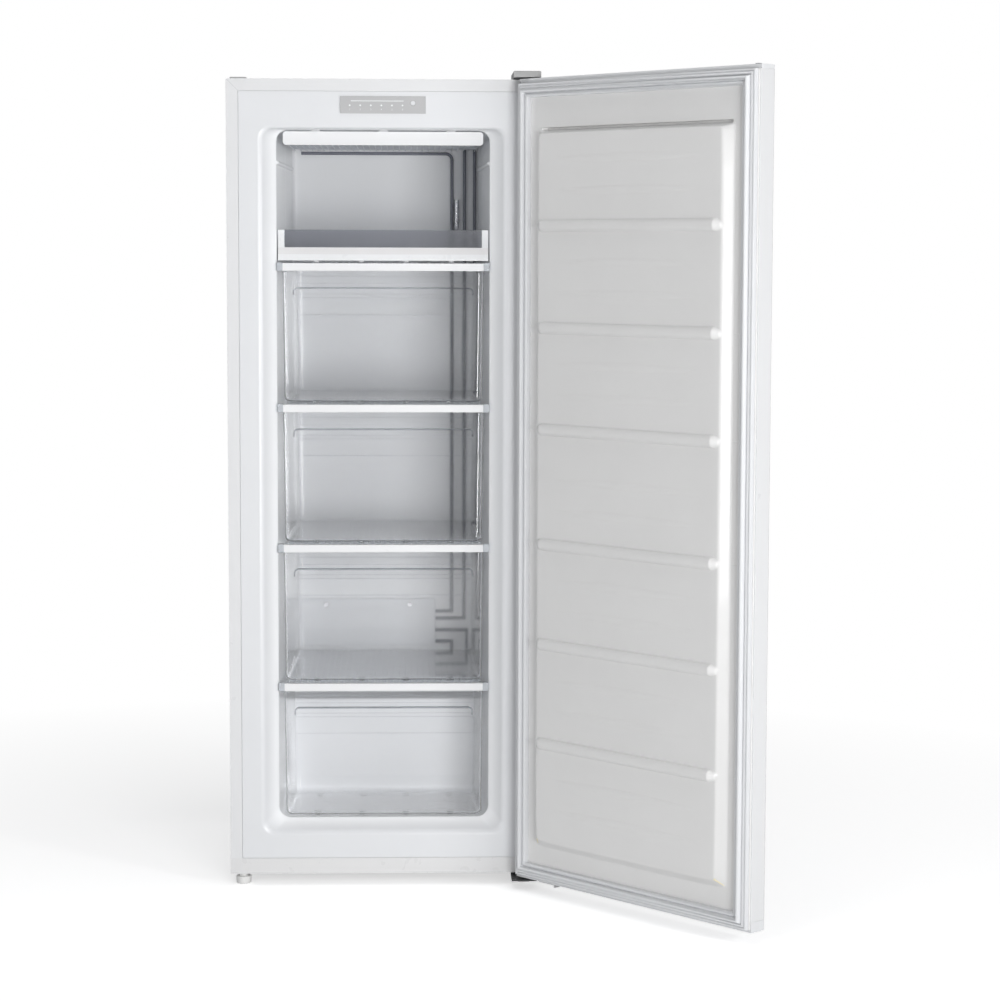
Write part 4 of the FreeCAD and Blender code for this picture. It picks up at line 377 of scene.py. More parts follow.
# --- Inner liner: one sheet of white plastic drawn into the land, the sloped throat and the rounded
# cavity, painted paler from the throat inward as painted light, with a step over the machine compartment and
# two side ledges.
def rounded_ring(half, low, high, radius, y, steps=6):
    """Points round a rounded upright rectangle that lies at one depth."""
    points = []
    for x, z, start in (
        (half - radius, high - radius, 0), (radius - half, high - radius, 90),
        (radius - half, low + radius, 180), (half - radius, low + radius, 270),
    ):
        for i in range(steps + 1):
            angle = math.radians(start + 90 * i / steps)
            points.append((x + radius * math.cos(angle), y, z + radius * math.sin(angle)))
    return points


def loft(form, rings, cap_start=False, cap_end=False, closed=False):
    """Joins rings of equally many points with faces; the ends may be capped or joined."""
    rows = [[form.verts.new(point) for point in ring] for ring in rings]
    if closed:
        rows.append(rows[0])
    for near, far in zip(rows, rows[1:]):
        for i in range(len(near)):
            j = (i + 1) % len(near)
            form.faces.new((near[i], near[j], far[j], far[i]))
    if cap_start:
        form.faces.new(rows[0][::-1])
    if cap_end:
        form.faces.new(rows[-1])
    return rows


liner_plastic = finish(
    "liner_plastic", (0.76, 0.77, 0.787), (0.74, 0.752, 0.772), 0.33, 900.0, 0.000006, 0.0003, None, 0.1,
    Coat_Weight=0.2, Coat_Roughness=0.2,
)
# Painted light: deeper than the land, the liner blends toward a paler colour that stands in for light in the
# throat and cavity.
PALE_FROM, PALE_TO, PALE_SHARE = 0.003, 0.022, 0.9
liner_tree = liner_plastic.node_tree
painted_cavity_light = ranged(liner_tree, axes_of(liner_tree)["Y"], PALE_FROM, PALE_TO, PALE_SHARE)
tint_over(liner_plastic, painted_cavity_light, (0.94, 0.95, 0.965))
LINER_TOP, LINER_BOTTOM = 1.350, 0.119
LINER_WALL = 0.0009
STEP_TOP, STEP_DEPTH = 0.300, 0.240
CAVITY_DEPTH = 0.420
THROAT_DEPTH = 0.030
THROAT_HALF, CAVITY_HALF = 0.1885, 0.1775


def cavity_half(y):
    return THROAT_HALF + (CAVITY_HALF - THROAT_HALF) * (y - THROAT_DEPTH) / (CAVITY_DEPTH - THROAT_DEPTH)


liner_rings = [
    rounded_ring(0.262, 0.046, 1.4250, 0.002, 0.0016),
    rounded_ring(0.2537, 0.0504, 1.4167, 0.002, 0.0016),
    rounded_ring(0.2535, 0.0506, 1.4165, 0.002, 0.0005),
    rounded_ring(0.2529, 0.0512, 1.4159, 0.002, 0.0),
]


def throat_edge(corner, run, roll, depth):
    """Where a side of the throat lies at a depth: the land rolls over an arc into the straight slope."""
    turn_angle = math.atan2(THROAT_DEPTH, abs(run))
    tangent = roll * math.tan(turn_angle / 2)
    if depth < roll * (1 - math.cos(turn_angle)):
        return corner + math.copysign(1, -run) * (tangent - math.sqrt(roll * roll - (roll - depth) ** 2))
    ease = 0.002 * math.exp(-(((depth - THROAT_DEPTH) / 0.006) ** 2))
    share = min(1.0, (depth + ease) / THROAT_DEPTH)
    return corner + run * share


THROAT_STATIONS = (
    0.0, 0.0001, 0.0004, 0.0009, 0.0016, 0.0025, 0.0037, 0.0050,
    0.009, 0.015, 0.021, 0.025, 0.027, 0.0285, 0.030, 0.032,
)
for depth in THROAT_STATIONS:
    side_edge = throat_edge(0.214, THROAT_HALF - 0.214, 0.014, depth)
    low_edge = throat_edge(0.098, LINER_BOTTOM - 0.098, 0.013, depth)
    top_edge = throat_edge(1.352, LINER_TOP - 1.352, 0.004, depth)
    liner_rings.append(rounded_ring(side_edge, low_edge, top_edge, 0.020, depth))
liner_rings.append(rounded_ring(cavity_half(0.05), LINER_BOTTOM, LINER_TOP, 0.016, 0.05))
BEND, RIDGE, BACK_BEND, CAVITY_CORNER = 0.014, 0.0042, 0.008, 0.014
STEP_START = STEP_DEPTH - BEND
liner_rings.append(rounded_ring(cavity_half(STEP_START), LINER_BOTTOM, LINER_TOP, CAVITY_CORNER, STEP_START))
for share in (0.3, 0.6, 0.85, 1.0):
    swing = math.radians(90 * share)
    rise = BEND * (1 - math.cos(swing))
    y = STEP_START + BEND * math.sin(swing)
    liner_rings.append(rounded_ring(cavity_half(STEP_START), LINER_BOTTOM + rise, LINER_TOP, CAVITY_CORNER, y))
for share in (0.0, 0.3, 0.6, 1.0):
    swing = math.radians(90 * share)
    low = STEP_TOP - RIDGE * (1 - math.sin(swing))
    y = STEP_DEPTH + 0.0005 + RIDGE * (1 - math.cos(swing))
    liner_rings.append(rounded_ring(cavity_half(y), low, LINER_TOP, CAVITY_CORNER, y))
for share in (0.0, 0.3, 0.6, 0.85, 1.0):
    swing = math.radians(90 * share)
    inset = BACK_BEND * (1 - math.cos(swing))
    y = CAVITY_DEPTH - BACK_BEND * (1 - math.sin(swing))
    ring = rounded_ring(cavity_half(y) - inset, STEP_TOP + inset, LINER_TOP - inset, CAVITY_CORNER, y)
    liner_rings.append(ring)
form = bmesh.new()
loft(form, liner_rings, cap_end=True)
bmesh.ops.remove_doubles(form, verts=form.verts, dist=0.000001)
bmesh.ops.recalc_face_normals(form, faces=form.faces)
bmesh.ops.solidify(form, geom=form.faces[:], thickness=-LINER_WALL)
add_piece("liner_form", form, "cabinet", [liner_plastic], ("inner_liner",), sharp=40)

LEDGE_Z, LEDGE_PROUD, LEDGE_HEIGHT = 1.293, 0.005, 0.008
form = bmesh.new()
for side in (-1, 1):
    rings = []
    for y, share in ((0.034, 0.1), (0.037, 0.8), (0.042, 1.0), (0.39, 1.0), (0.398, 0.1)):
        wall = cavity_half(y) + 0.0002
        ring = []
        for step in range(7):
            angle = math.pi * step / 6
            proud = LEDGE_PROUD * share * math.sin(angle)
            ring.append((side * (wall - proud), y, LEDGE_Z + LEDGE_HEIGHT / 2 * math.cos(angle)))
        rings.append(ring)
    loft(form, rings, True, True)
add_piece("side_ledges", form, "cabinet", [liner_plastic])

# --- Insulation: poured rigid foam, with the fine pores and the yellow skin of cut polyurethane.
foam_paint = finish("insulation_foam", (0.86, 0.80, 0.60), (0.78, 0.70, 0.50), 0.85, 1500.0, 0.00012, 0.0006)
for node_name in ("insulation_foam", "door_foam"):
    foam_node = frame["nodes"][node_name]
    foam_node.data.materials.clear()
    foam_node.data.materials.append(foam_paint)

# --- Control panel: a flat grey plate on the land with six small lamps, a light bar above them,
# a row of faint printed numerals below and one round push button.
bezel_paint = finish("bezel_plastic", (0.49, 0.49, 0.495), (0.455, 0.457, 0.465), 0.42, 1600.0, 0.000012)
dress("control_bezel", [bezel_paint], 0.0004)
lens_paint = finish(
    "lamp_lens", (0.88, 0.90, 0.90), (0.80, 0.83, 0.83), 0.2, 900.0, 0.000004, Coat_Weight=0.5
)
dress("indicator_lenses", [lens_paint], 0.0002)
button_paint = finish("button_plastic", (0.76, 0.77, 0.79), (0.70, 0.71, 0.73), 0.3, 1500.0, 0.000008)
dress("control_button", [button_paint], 0.0004, steps=3)
label_ink = finish("label_ink", (0.80, 0.81, 0.82), (0.72, 0.73, 0.75), 0.5, 2500.0, 0.00001)
LABEL_HEIGHT, LABEL_LEFT, LABEL_PITCH = 0.0042, -0.0582, 0.0185
LABEL_Y, LABEL_Z = -0.00203, 1.3835
form = bmesh.new()
for i in range(6):
    letter = bpy.data.curves.new("label", "FONT")
    letter.body = str(i + 1)
    letter.size = LABEL_HEIGHT
    letter.align_x = "CENTER"
    letter.extrude = 0.00003
    carrier = bpy.data.objects.new("label", letter)
    marks = bpy.data.meshes.new_from_object(carrier)
    label_place = Matrix.Translation((LABEL_LEFT + LABEL_PITCH * i, LABEL_Y, LABEL_Z))
    marks.transform(label_place @ Matrix.Rotation(math.radians(90), 4, "X"))
    form.from_mesh(marks)
    bpy.data.objects.remove(carrier)
add_piece("panel_labels", form, "cabinet", [label_ink])
board_paint = finish(
    "circuit_board", (0.03, 0.20, 0.09), (0.05, 0.28, 0.13), 0.35, 1200.0, 0.00003, Coat_Weight=0.4
)
dress("control_board", [board_paint], 0.0002)


# --- Shelf evaporators: four nets of thin enamelled wire over a flat coil, each held at the front
# by a white trim with translucent end caps. The nets come from one repeating rule.
def wire_net_rule():
    """A rule that lays a row of straight round wires along Y and a few thicker ones across them."""
    rule = bpy.data.node_groups.new("wire_net", "GeometryNodeTree")
    face = rule.interface
    face.new_socket("Geometry", in_out="INPUT", socket_type="NodeSocketGeometry")
    for label in ("Length", "Pitch", "Radius"):
        face.new_socket(label, in_out="INPUT", socket_type="NodeSocketFloat")
    for label in ("Wires", "Rails"):
        face.new_socket(label, in_out="INPUT", socket_type="NodeSocketInt")
    face.new_socket("Finish", in_out="INPUT", socket_type="NodeSocketMaterial")
    face.new_socket("Geometry", in_out="OUTPUT", socket_type="NodeSocketGeometry")
    nodes, links = rule.nodes, rule.links
    entry, leave = nodes.new("NodeGroupInput"), nodes.new("NodeGroupOutput")

    def put(kind, links_in=None, **settings):
        node = nodes.new(kind)
        for key, value in settings.items():
            setattr(node, key, value)
        for key, value in (links_in or {}).items():
            if isinstance(value, bpy.types.NodeSocket):
                links.new(value, node.inputs[key])
            else:
                node.inputs[key].default_value = value
        return node

    def times(first, second):
        return put("ShaderNodeMath", {0: first, 1: second}, operation="MULTIPLY").outputs[0]

    def row(count, gap, along, span, radius, lift):
        """Copies of one wire of a span, laid side by side from -half to +half of the row."""
        reach = times(put("ShaderNodeMath", {0: count, 1: 1.0}, operation="SUBTRACT").outputs[0], gap)
        start = times(reach, -0.5)
        other = times(span, -0.5)
        beside, onward = (0, 1) if along == "Y" else (1, 0)
        corner = put("ShaderNodeCombineXYZ", {beside: start, onward: other, 2: lift})
        step = put("ShaderNodeCombineXYZ", {beside: gap})
        row_ends = {"Count": count, "Start Location": corner.outputs[0], "Offset": step.outputs[0]}
        line = put("GeometryNodeMeshLine", row_ends)
        tip = put("ShaderNodeCombineXYZ", {onward: span})
        wire = put("GeometryNodeCurvePrimitiveLine", {"End": tip.outputs[0]})
        ring = put("GeometryNodeCurvePrimitiveCircle", {"Resolution": 8, "Radius": radius})
        rod_parts = {"Curve": wire.outputs[0], "Profile Curve": ring.outputs[0], "Fill Caps": True}
        rod = put("GeometryNodeCurveToMesh", rod_parts)
        copies = put("GeometryNodeInstanceOnPoints", {"Points": line.outputs[0], "Instance": rod.outputs[0]})
        return copies.outputs[0]

    length, pitch, radius, wire_count, rail_count, paint = entry.outputs[1:7]
    width = times(wire_count, pitch)
    rail_gap = put("ShaderNodeMath", {0: length, 1: rail_count}, operation="DIVIDE").outputs[0]
    wires = row(wire_count, pitch, "Y", length, radius, 0.0)
    rails = row(rail_count, rail_gap, "X", width, times(radius, 1.35), times(radius, -2.3))
    both = put("GeometryNodeJoinGeometry")
    links.new(wires, both.inputs[0])
    links.new(rails, both.inputs[0])
    real = put("GeometryNodeRealizeInstances", {0: both.outputs[0]})
    painted_wires = put("GeometryNodeSetMaterial", {"Geometry": real.outputs[0], "Material": paint})
    links.new(painted_wires.outputs[0], leave.inputs[0])
    return rule


net_rule = wire_net_rule()


def wire_net(name, centre, turn_net, slot, paint, replaced, **values):
    """One net made by the rule, turned and moved to its place as a plain mesh."""
    seed = bpy.data.objects.new(name + "_rule", bpy.data.meshes.new(name + "_rule"))
    bpy.context.scene.collection.objects.link(seed)
    maker = seed.modifiers.new("net", "NODES")
    maker.node_group = net_rule
    values["Finish"] = paint
    for item in net_rule.interface.items_tree:
        if item.name in values:
            maker[item.identifier] = values[item.name]
    seed.update_tag()
    bpy.context.view_layer.update()
    made = bpy.data.meshes.new_from_object(seed.evaluated_get(bpy.context.evaluated_depsgraph_get()))
    bpy.data.objects.remove(seed)
    made.transform(Matrix.Translation(centre) @ turn_net)
    form = bmesh.new()
    form.from_mesh(made)
    bmesh.ops.remove_doubles(form, verts=form.verts, dist=0.00001)
    return add_piece(name, form, "cabinet", [paint], replaced)


def round_tube(form, points, radius, normal, sides=10):
    """A round tube along points that lie in one plane, given the plane's normal."""
    rings = []
    for i, point in enumerate(points):
        ahead = (points[min(i + 1, len(points) - 1)] - points[max(i - 1, 0)]).normalized()
        side = ahead.cross(normal)
        angles = [2 * math.pi * j / sides for j in range(sides)]
        rings.append([point + radius * (math.cos(a) * side + math.sin(a) * normal) for a in angles])
    loft(form, rings, True, True)


def bent_coil(node_name, runs, radius, rise, paint, bend_steps=10):
    """A flat coil of straight runs joined by round half turns, which climbs along one axis."""
    low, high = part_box(node_name)
    flat = 3 - rise
    pitch = (high[rise] - low[rise] - 2 * radius) / (runs - 1)
    half = high.x - radius - pitch / 2
    points = []
    for run in range(runs):
        side = -1 if run % 2 else 1
        turns = range(bend_steps + 1) if run < runs - 1 else (0,)
        if run == 0:
            points.append(Vector((-side * half, 0, 0)))
        for step in turns:
            angle = math.pi * step / bend_steps
            point = Vector((side * (half + pitch / 2 * math.sin(angle)), 0, 0))
            point[rise] = pitch * run + pitch / 2 * (1 - math.cos(angle))
            points.append(point)
    normal = Vector((0, 0, 0))
    normal[flat] = 1
    start = Vector((0, 0, 0))
    start[rise] = low[rise] + radius
    start[flat] = (low[flat] + high[flat]) / 2
    form = bmesh.new()
    round_tube(form, [point + start for point in points], radius, normal)
    return add_piece(node_name + "_form", form, "cabinet", [paint], (node_name,), sharp=50)


evaporator_paint = finish(
    "evaporator_enamel", (0.74, 0.765, 0.80), (0.68, 0.71, 0.75), 0.35, 900.0, 0.00001, 0.0001, None, 0.2,
    Metallic=0.15,
)
trim_plastic = finish(
    "trim_plastic", (0.82, 0.825, 0.835), (0.80, 0.805, 0.815), 0.32, 1200.0, 0.000006, 0.00004, None, 0.05,
    Coat_Weight=0.15,
)
trim_cap_plastic = finish(
    "trim_cap_plastic", (0.72, 0.75, 0.79), (0.66, 0.70, 0.75), 0.25, 1200.0, 0.000006, 0.0001,
    Transmission_Weight=0.35, IOR=1.45,
)
TRIM_CAP_WIDTH = 0.0103
COIL_RUNS, COIL_RADIUS, WIRE_DEPTH = 9, 0.004, 0.0011
for number in range(1, 5):
    net_low, net_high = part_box(f"shelf_wires_{number}")
    middle = (net_low + net_high) / 2
    wire_net(
        f"shelf_net_{number}", (middle.x, middle.y, net_high.z - WIRE_DEPTH),
        Matrix.Identity(4), "evaporator", evaporator_paint, (f"shelf_wires_{number}",),
        Length=net_high.y - net_low.y, Wires=32, Pitch=0.011, Radius=0.0009, Rails=5,
    )
    bent_coil(f"shelf_coil_{number}", COIL_RUNS, COIL_RADIUS, 1, evaporator_paint)
    edge_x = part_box(f"shelf_trim_{number}")[1].x - TRIM_CAP_WIDTH
    dress(
        f"shelf_trim_{number}", [trim_plastic, trim_cap_plastic], 0.0011, steps=3,
        paint_of=lambda face: int(abs(face.calc_center_median().x) > edge_x),
    )

# --- Ceiling evaporator: the same net and coil hung under the ceiling, behind a white front bar
# with rounded top corners.
net_low, net_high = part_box("ceiling_wires")
middle = (net_low + net_high) / 2
wire_net(
    "ceiling_net", (middle.x, middle.y, net_low.z + WIRE_DEPTH),
    Matrix.Rotation(math.radians(180), 4, "Y"), "evaporator", evaporator_paint, ("ceiling_wires",),
    Length=net_high.y - net_low.y, Wires=32, Pitch=0.011, Radius=0.0009, Rails=4,
)
bent_coil("ceiling_coil", COIL_RUNS, COIL_RADIUS, 1, evaporator_paint)
dress("ceiling_trim", [trim_plastic], 0.0012, steps=3)

# --- Riser tubes, bypass cover and sensor: grey tubes up the back wall, one of them bent off along
# the ceiling net's rear edge, a moulded plate with two screws, and the bright thermostat bulb.
tube_paint = finish(
    "tube_grey", (0.25, 0.26, 0.30), (0.20, 0.21, 0.25), 0.38, 600.0, 0.00001, 0.0001, (0.42, 0.42, 0.44)
)
TUBE_RADIUS, RISER_SIDE, FEED_LEFT, FEED_BEND = 0.003, 0.128, -0.160, 0.012
FEED_GAP, FEED_OVERLAP = 0.0005, 0.002
feed_x = RISER_SIDE
feed_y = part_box("riser_tubes")[1].y - TUBE_RADIUS
feed_z = net_low.z - TUBE_RADIUS - FEED_GAP
form = node_form("riser_tubes")
for corner in form.verts:
    if corner.co.z > feed_z and abs(corner.co.x - feed_x) < 2 * TUBE_RADIUS:
        corner.co.z = feed_z - FEED_BEND
feed = [Vector((FEED_LEFT, feed_y, feed_z))]
for i in range(9):
    angle = math.radians(90 - 90 * i / 8)
    z = feed_z - FEED_BEND + FEED_BEND * math.sin(angle)
    feed.append(Vector((feed_x - FEED_BEND + FEED_BEND * math.cos(angle), feed_y, z)))
feed.append(Vector((feed_x, feed_y, feed_z - FEED_BEND - FEED_OVERLAP)))
round_tube(form, feed, TUBE_RADIUS, Vector((0, 1, 0)))
add_piece("riser_tubes_form", form, "cabinet", [tube_paint], ("riser_tubes",), sharp=50)
cover_paint = finish("cover_plastic", (0.86, 0.875, 0.90), (0.83, 0.845, 0.87), 0.4, 1400.0, 0.00001)
dress("bypass_cover", [cover_paint], 0.0012, steps=3)
screw_paint = finish(
    "screw_steel", (0.62, 0.62, 0.63), (0.52, 0.52, 0.54), 0.3, 900.0, rub=(0.8, 0.8, 0.8), Metallic=0.9
)
# Painted shade: near-black for the shade inside the screws' cross slots.
painted_slot_shade = finish("screw_slot_painted_shade", (0.10, 0.10, 0.11), (0.07, 0.07, 0.08), 0.6, 900.0, 0.00001)
dress("bypass_cover_screws", [screw_paint], 0.0003)
bulb_paint = finish(
    "sensor_metal", (0.74, 0.75, 0.77), (0.66, 0.67, 0.70), 0.25, 900.0, 0.000008, Metallic=0.85
)
cap_dark = finish("bulb_cap", (0.08, 0.08, 0.09), (0.06, 0.06, 0.07), 0.5, 900.0, 0.00001)


def disc_ring(centre, radius, z, sides=18):
    """Points round a level circle."""
    angles = [2 * math.pi * i / sides for i in range(sides)]
    return [(centre[0] + radius * math.cos(a), centre[1] + radius * math.sin(a), z) for a in angles]


bulb_low, bulb_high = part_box("sensor_bulb")
BULB_CAP = 0.007
bulb_middle = (bulb_low + bulb_high) / 2
bulb_radius = (bulb_high.x - bulb_low.x) / 2
bulb_stations = (
    (0.0, 0.5), (0.0006, 0.85), (0.002, 1.0), (0.3, 1.0), (0.32, 0.97),
    (0.86, 0.97), (0.9, 0.8), (0.97, 0.8), (0.99, 0.55),
)
form = bmesh.new()
loft(form, [
    disc_ring(bulb_middle, bulb_radius * wide, bulb_high.z - (bulb_high.z - bulb_low.z) * share)
    for share, wide in bulb_stations
], True, True)
add_piece(
    "sensor_bulb_form", form, "cabinet", [bulb_paint, cap_dark], ("sensor_bulb",),
    lambda face: int(face.calc_center_median().z > bulb_high.z - BULB_CAP),
)


SLOT_LENGTH, SLOT_WIDTH, SLOT_DEPTH = 0.0036, 0.0008, 0.0004


def cross_recesses(name, spots):
    """Crosses painted near-black on screw heads that face forward, as painted shade in their slots."""
    form = bmesh.new()
    for place in spots:
        for wide, high in ((SLOT_LENGTH, SLOT_WIDTH), (SLOT_WIDTH, SLOT_LENGTH)):
            slot_size = Matrix.Diagonal((wide, SLOT_DEPTH, high, 1))
            bmesh.ops.create_cube(form, size=1, matrix=Matrix.Translation(place) @ slot_size)
    return add_piece(name, form, "cabinet", [painted_slot_shade])


screws_low, screws_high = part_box("bypass_cover_screws")
screw_z = (screws_low.z + screws_high.z) / 2
screw_inset = (screws_high.z - screws_low.z) / 2
cross_recesses(
    "cover_screw_slots",
    [(x, screws_low.y, screw_z) for x in (screws_low.x + screw_inset, screws_high.x - screw_inset)],
)

# --- Freezing tray: a shallow white tray on the top net. Its front bar has a white lower band and a
# warm grey band above it, and a tinted clear retainer stands between its end posts.
tray_plastic = finish(
    "tray_plastic", (0.82, 0.83, 0.84), (0.79, 0.80, 0.815), 0.3, 1200.0, 0.000007, 0.0002,
    Coat_Weight=0.2,
)
tray_band = finish("tray_band", (0.76, 0.755, 0.76), (0.72, 0.715, 0.72), 0.38, 1200.0, 0.000008)
tray_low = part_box("freezing_tray")[0]
TRAY_PAD, TRAY_FACE, TRAY_BAND_TOP = 0.0035, 0.011, 0.0235


def tray_paint_of(face):
    centre = face.calc_center_median()
    on_front = centre.y < tray_low.y + 0.006 and face.normal.y < -0.2
    above_band = centre.z > tray_low.z + TRAY_PAD + TRAY_FACE
    return int(on_front and above_band and centre.z < tray_low.z + TRAY_PAD + TRAY_BAND_TOP)


dress("freezing_tray", [tray_plastic, tray_band], 0.0007, tray_paint_of)


def clear_finish(name, tint, shade, roughness):
    """A clear plastic with fine moulding waves, which lets soft light through to what lies behind it."""
    paint = finish(name, tint, shade, roughness, 260.0, 0.000004, 0.0004, Transmission_Weight=1.0, IOR=1.47)
    tree = paint.node_tree
    path = add_node(tree, "LightPath")
    lit = calc(tree, "MAXIMUM", path.outputs["Is Shadow Ray"], path.outputs["Is Diffuse Ray"])
    open_color = blend_colors(tree, 0.35, WHITE, (*tint, 1))
    through = add_node(tree, "BsdfTransparent", {"Color": open_color})
    solid = tree.nodes["Principled BSDF"].outputs[0]
    mixed = add_node(tree, "MixShader", {0: lit, 1: solid, 2: through.outputs[0]})
    tree.links.new(mixed.outputs[0], tree.nodes["Material Output"].inputs["Surface"])
    return paint


retainer_plastic = clear_finish("tray_retainer", (0.66, 0.67, 0.72), (0.62, 0.63, 0.68), 0.16)
dress("tray_retainer", [retainer_plastic], 0.0005)

# --- Drawers: four clear moulded tubs with rounded toes and corners, a rolled rim, five fine ribs and
# a pull moulded across the front as a ledge whose ends turn down, tinted darker as painted shade, and eight
# round pads underneath.
drawer_clear = clear_finish("drawer_clear", (0.988, 0.990, 0.994), (0.978, 0.982, 0.989), 0.07)
# Painted shade: the pull gets a darker clear tint that stands in for the shadow under its ledge.
drawer_pull_painted_shade = clear_finish("drawer_pull_painted_shade", (0.62, 0.64, 0.69), (0.58, 0.60, 0.65), 0.12)
DRAWER_FRONT, DRAWER_WALL, DRAWER_DRAFT = 0.026, 0.0022, 0.003
DRAWER_FRONT_HALF, DRAWER_BACK_HALF = 0.179, 0.170
DRAWER_CORNER, DRAWER_TOE = 0.010, 0.009
PAD_HEIGHT, PAD_RADIUS, PAD_PITCH, PAD_MARGIN = 0.0035, 0.006, 0.080, 0.025


def tub_ring(inset, front_inset, back, z, corner, steps=7):
    """Points round a level outline that narrows to the back, with rounded corners."""
    front = DRAWER_FRONT + front_inset
    rear = back - inset
    front_half = DRAWER_FRONT_HALF - inset
    lean = (DRAWER_FRONT_HALF - DRAWER_BACK_HALF) * (rear - front) / (back - DRAWER_FRONT)
    points = []
    for x, y, start in (
        (front_half - lean - corner, rear - corner, 0), (corner + lean - front_half, rear - corner, 90),
        (corner - front_half, front + corner, 180), (front_half - corner, front + corner, 270),
    ):
        for i in range(steps + 1):
            angle = math.radians(start + 90 * i / steps)
            points.append((x + corner * math.cos(angle), y + corner * math.sin(angle), z))
    return points


def rod_along(form, points, depth_front, depth_back, thick):
    """A flat moulded bar that follows points across the front, between two depths."""
    rings = []
    for i, (x, z) in enumerate(points):
        before, after = points[max(i - 1, 0)], points[min(i + 1, len(points) - 1)]
        run = math.hypot(after[0] - before[0], after[1] - before[1])
        nx, nz = -(after[1] - before[1]) / run * thick / 2, (after[0] - before[0]) / run * thick / 2
        soft = (depth_back - depth_front) * 0.18
        rings.append([
            (x + nx, depth_back, z + nz), (x + nx, depth_front + soft, z + nz),
            (x + nx * 0.5, depth_front, z + nz * 0.5), (x - nx * 0.5, depth_front, z - nz * 0.5),
            (x - nx, depth_front + soft, z - nz), (x - nx, depth_back, z - nz),
        ])
    loft(form, rings, True, True)


PULL_HALF, PULL_DROP, PULL_TURN, PULL_LEG = 0.159, 0.0288, 0.007, 0.006
pull_points = [(-PULL_HALF, -PULL_DROP - PULL_TURN - PULL_LEG)]
for start, x in ((180, PULL_TURN - PULL_HALF), (90, PULL_HALF - PULL_TURN)):
    for i in range(6):
        angle = math.radians(start - 90 * i / 5)
        z = -PULL_DROP - PULL_TURN + PULL_TURN * math.sin(angle)
        pull_points.append((x + PULL_TURN * math.cos(angle), z))
pull_points.append((PULL_HALF, -PULL_DROP - PULL_TURN - PULL_LEG))

RIM_ROLL, RIM_DROP = 0.0005, 0.0008
FINE_RIB_DROPS = (0.0075, 0.0205, 0.0393, 0.0460, 0.0760)
FINE_RIB_HALF, FINE_RIB_PROUD, FINE_RIB_THICK = 0.162, 0.0007, 0.0011
TOE_SHARES = (0.0, 0.25, 0.5, 0.75, 1.0)
BAR_ROOT, PULL_THICK = DRAWER_FRONT + 0.0006, 0.0026


def toe_rings(wall, shares, back, under):
    """Rings that round a drawer's toe, a wall thickness in from its outer face."""
    rings = []
    for share in shares:
        swing = math.radians(90 * share)
        bend = DRAWER_TOE - wall
        turned_in = wall + bend * (1 - math.sin(swing))
        z = under + wall + bend * (1 - math.cos(swing))
        rings.append(tub_ring(DRAWER_DRAFT + turned_in, turned_in, back, z, DRAWER_CORNER - wall))
    return rings


for number in range(1, 5):
    drawer_low, drawer_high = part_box(f"drawer_{number}")
    back, rim, under = drawer_high.y, drawer_high.z, drawer_low.z + PAD_HEIGHT
    inner_roll = DRAWER_WALL - RIM_ROLL
    form = bmesh.new()
    loft(form, [
        *toe_rings(0.0, TOE_SHARES, back, under),
        tub_ring(0.0004, 0.0, back, rim - 0.006, DRAWER_CORNER),
        tub_ring(0.0, 0.0, back, rim - RIM_DROP, DRAWER_CORNER),
        tub_ring(RIM_ROLL, RIM_ROLL, back, rim, DRAWER_CORNER - RIM_ROLL),
        tub_ring(inner_roll, inner_roll, back, rim, DRAWER_CORNER - inner_roll),
        tub_ring(DRAWER_WALL, DRAWER_WALL, back, rim - RIM_DROP, DRAWER_CORNER - DRAWER_WALL),
        *toe_rings(DRAWER_WALL, TOE_SHARES[::-1], back, under),
    ], True, True)
    rod_along(form, [(x, z + rim) for x, z in pull_points], drawer_low.y, BAR_ROOT, PULL_THICK)
    for drop in FINE_RIB_DROPS:
        ends = [(-FINE_RIB_HALF, rim - drop), (FINE_RIB_HALF, rim - drop)]
        rod_along(form, ends, DRAWER_FRONT - FINE_RIB_PROUD, BAR_ROOT, FINE_RIB_THICK)
    for y in (DRAWER_FRONT + PAD_MARGIN, back - PAD_MARGIN):
        for column in range(4):
            pad_middle = ((column - 1.5) * PAD_PITCH, y)
            loft(form, [
                disc_ring(pad_middle, PAD_RADIUS * wide, drawer_low.z + rise)
                for rise, wide in ((0.0, 0.82), (0.0006, 1.0), (PAD_HEIGHT + 0.0004, 1.0))
            ], True, True)

    # The pull's front faces take the darker painted-shade tint.
    def tub_paint_of(face):
        centre = face.calc_center_median()
        return int(centre.y < DRAWER_FRONT - 0.0009 and centre.z > rim - 0.05)

    add_piece(
        f"drawer_{number}_tub", form, f"drawer_{number}", [drawer_clear, drawer_pull_painted_shade],
        (f"drawer_{number}",), tub_paint_of,
    )

# --- Door: a painted steel skin folded round the foam, modelled here shut and then turned to rest.
PIN = (0.259, -0.030)
DOOR_OPEN = math.radians(132)
pin_place = Matrix.Translation((*PIN, 0))
door_turn = pin_place @ Matrix.Rotation(DOOR_OPEN, 4, "Z") @ pin_place.inverted()
dress("door_skin", [white_paint], 0.00025)

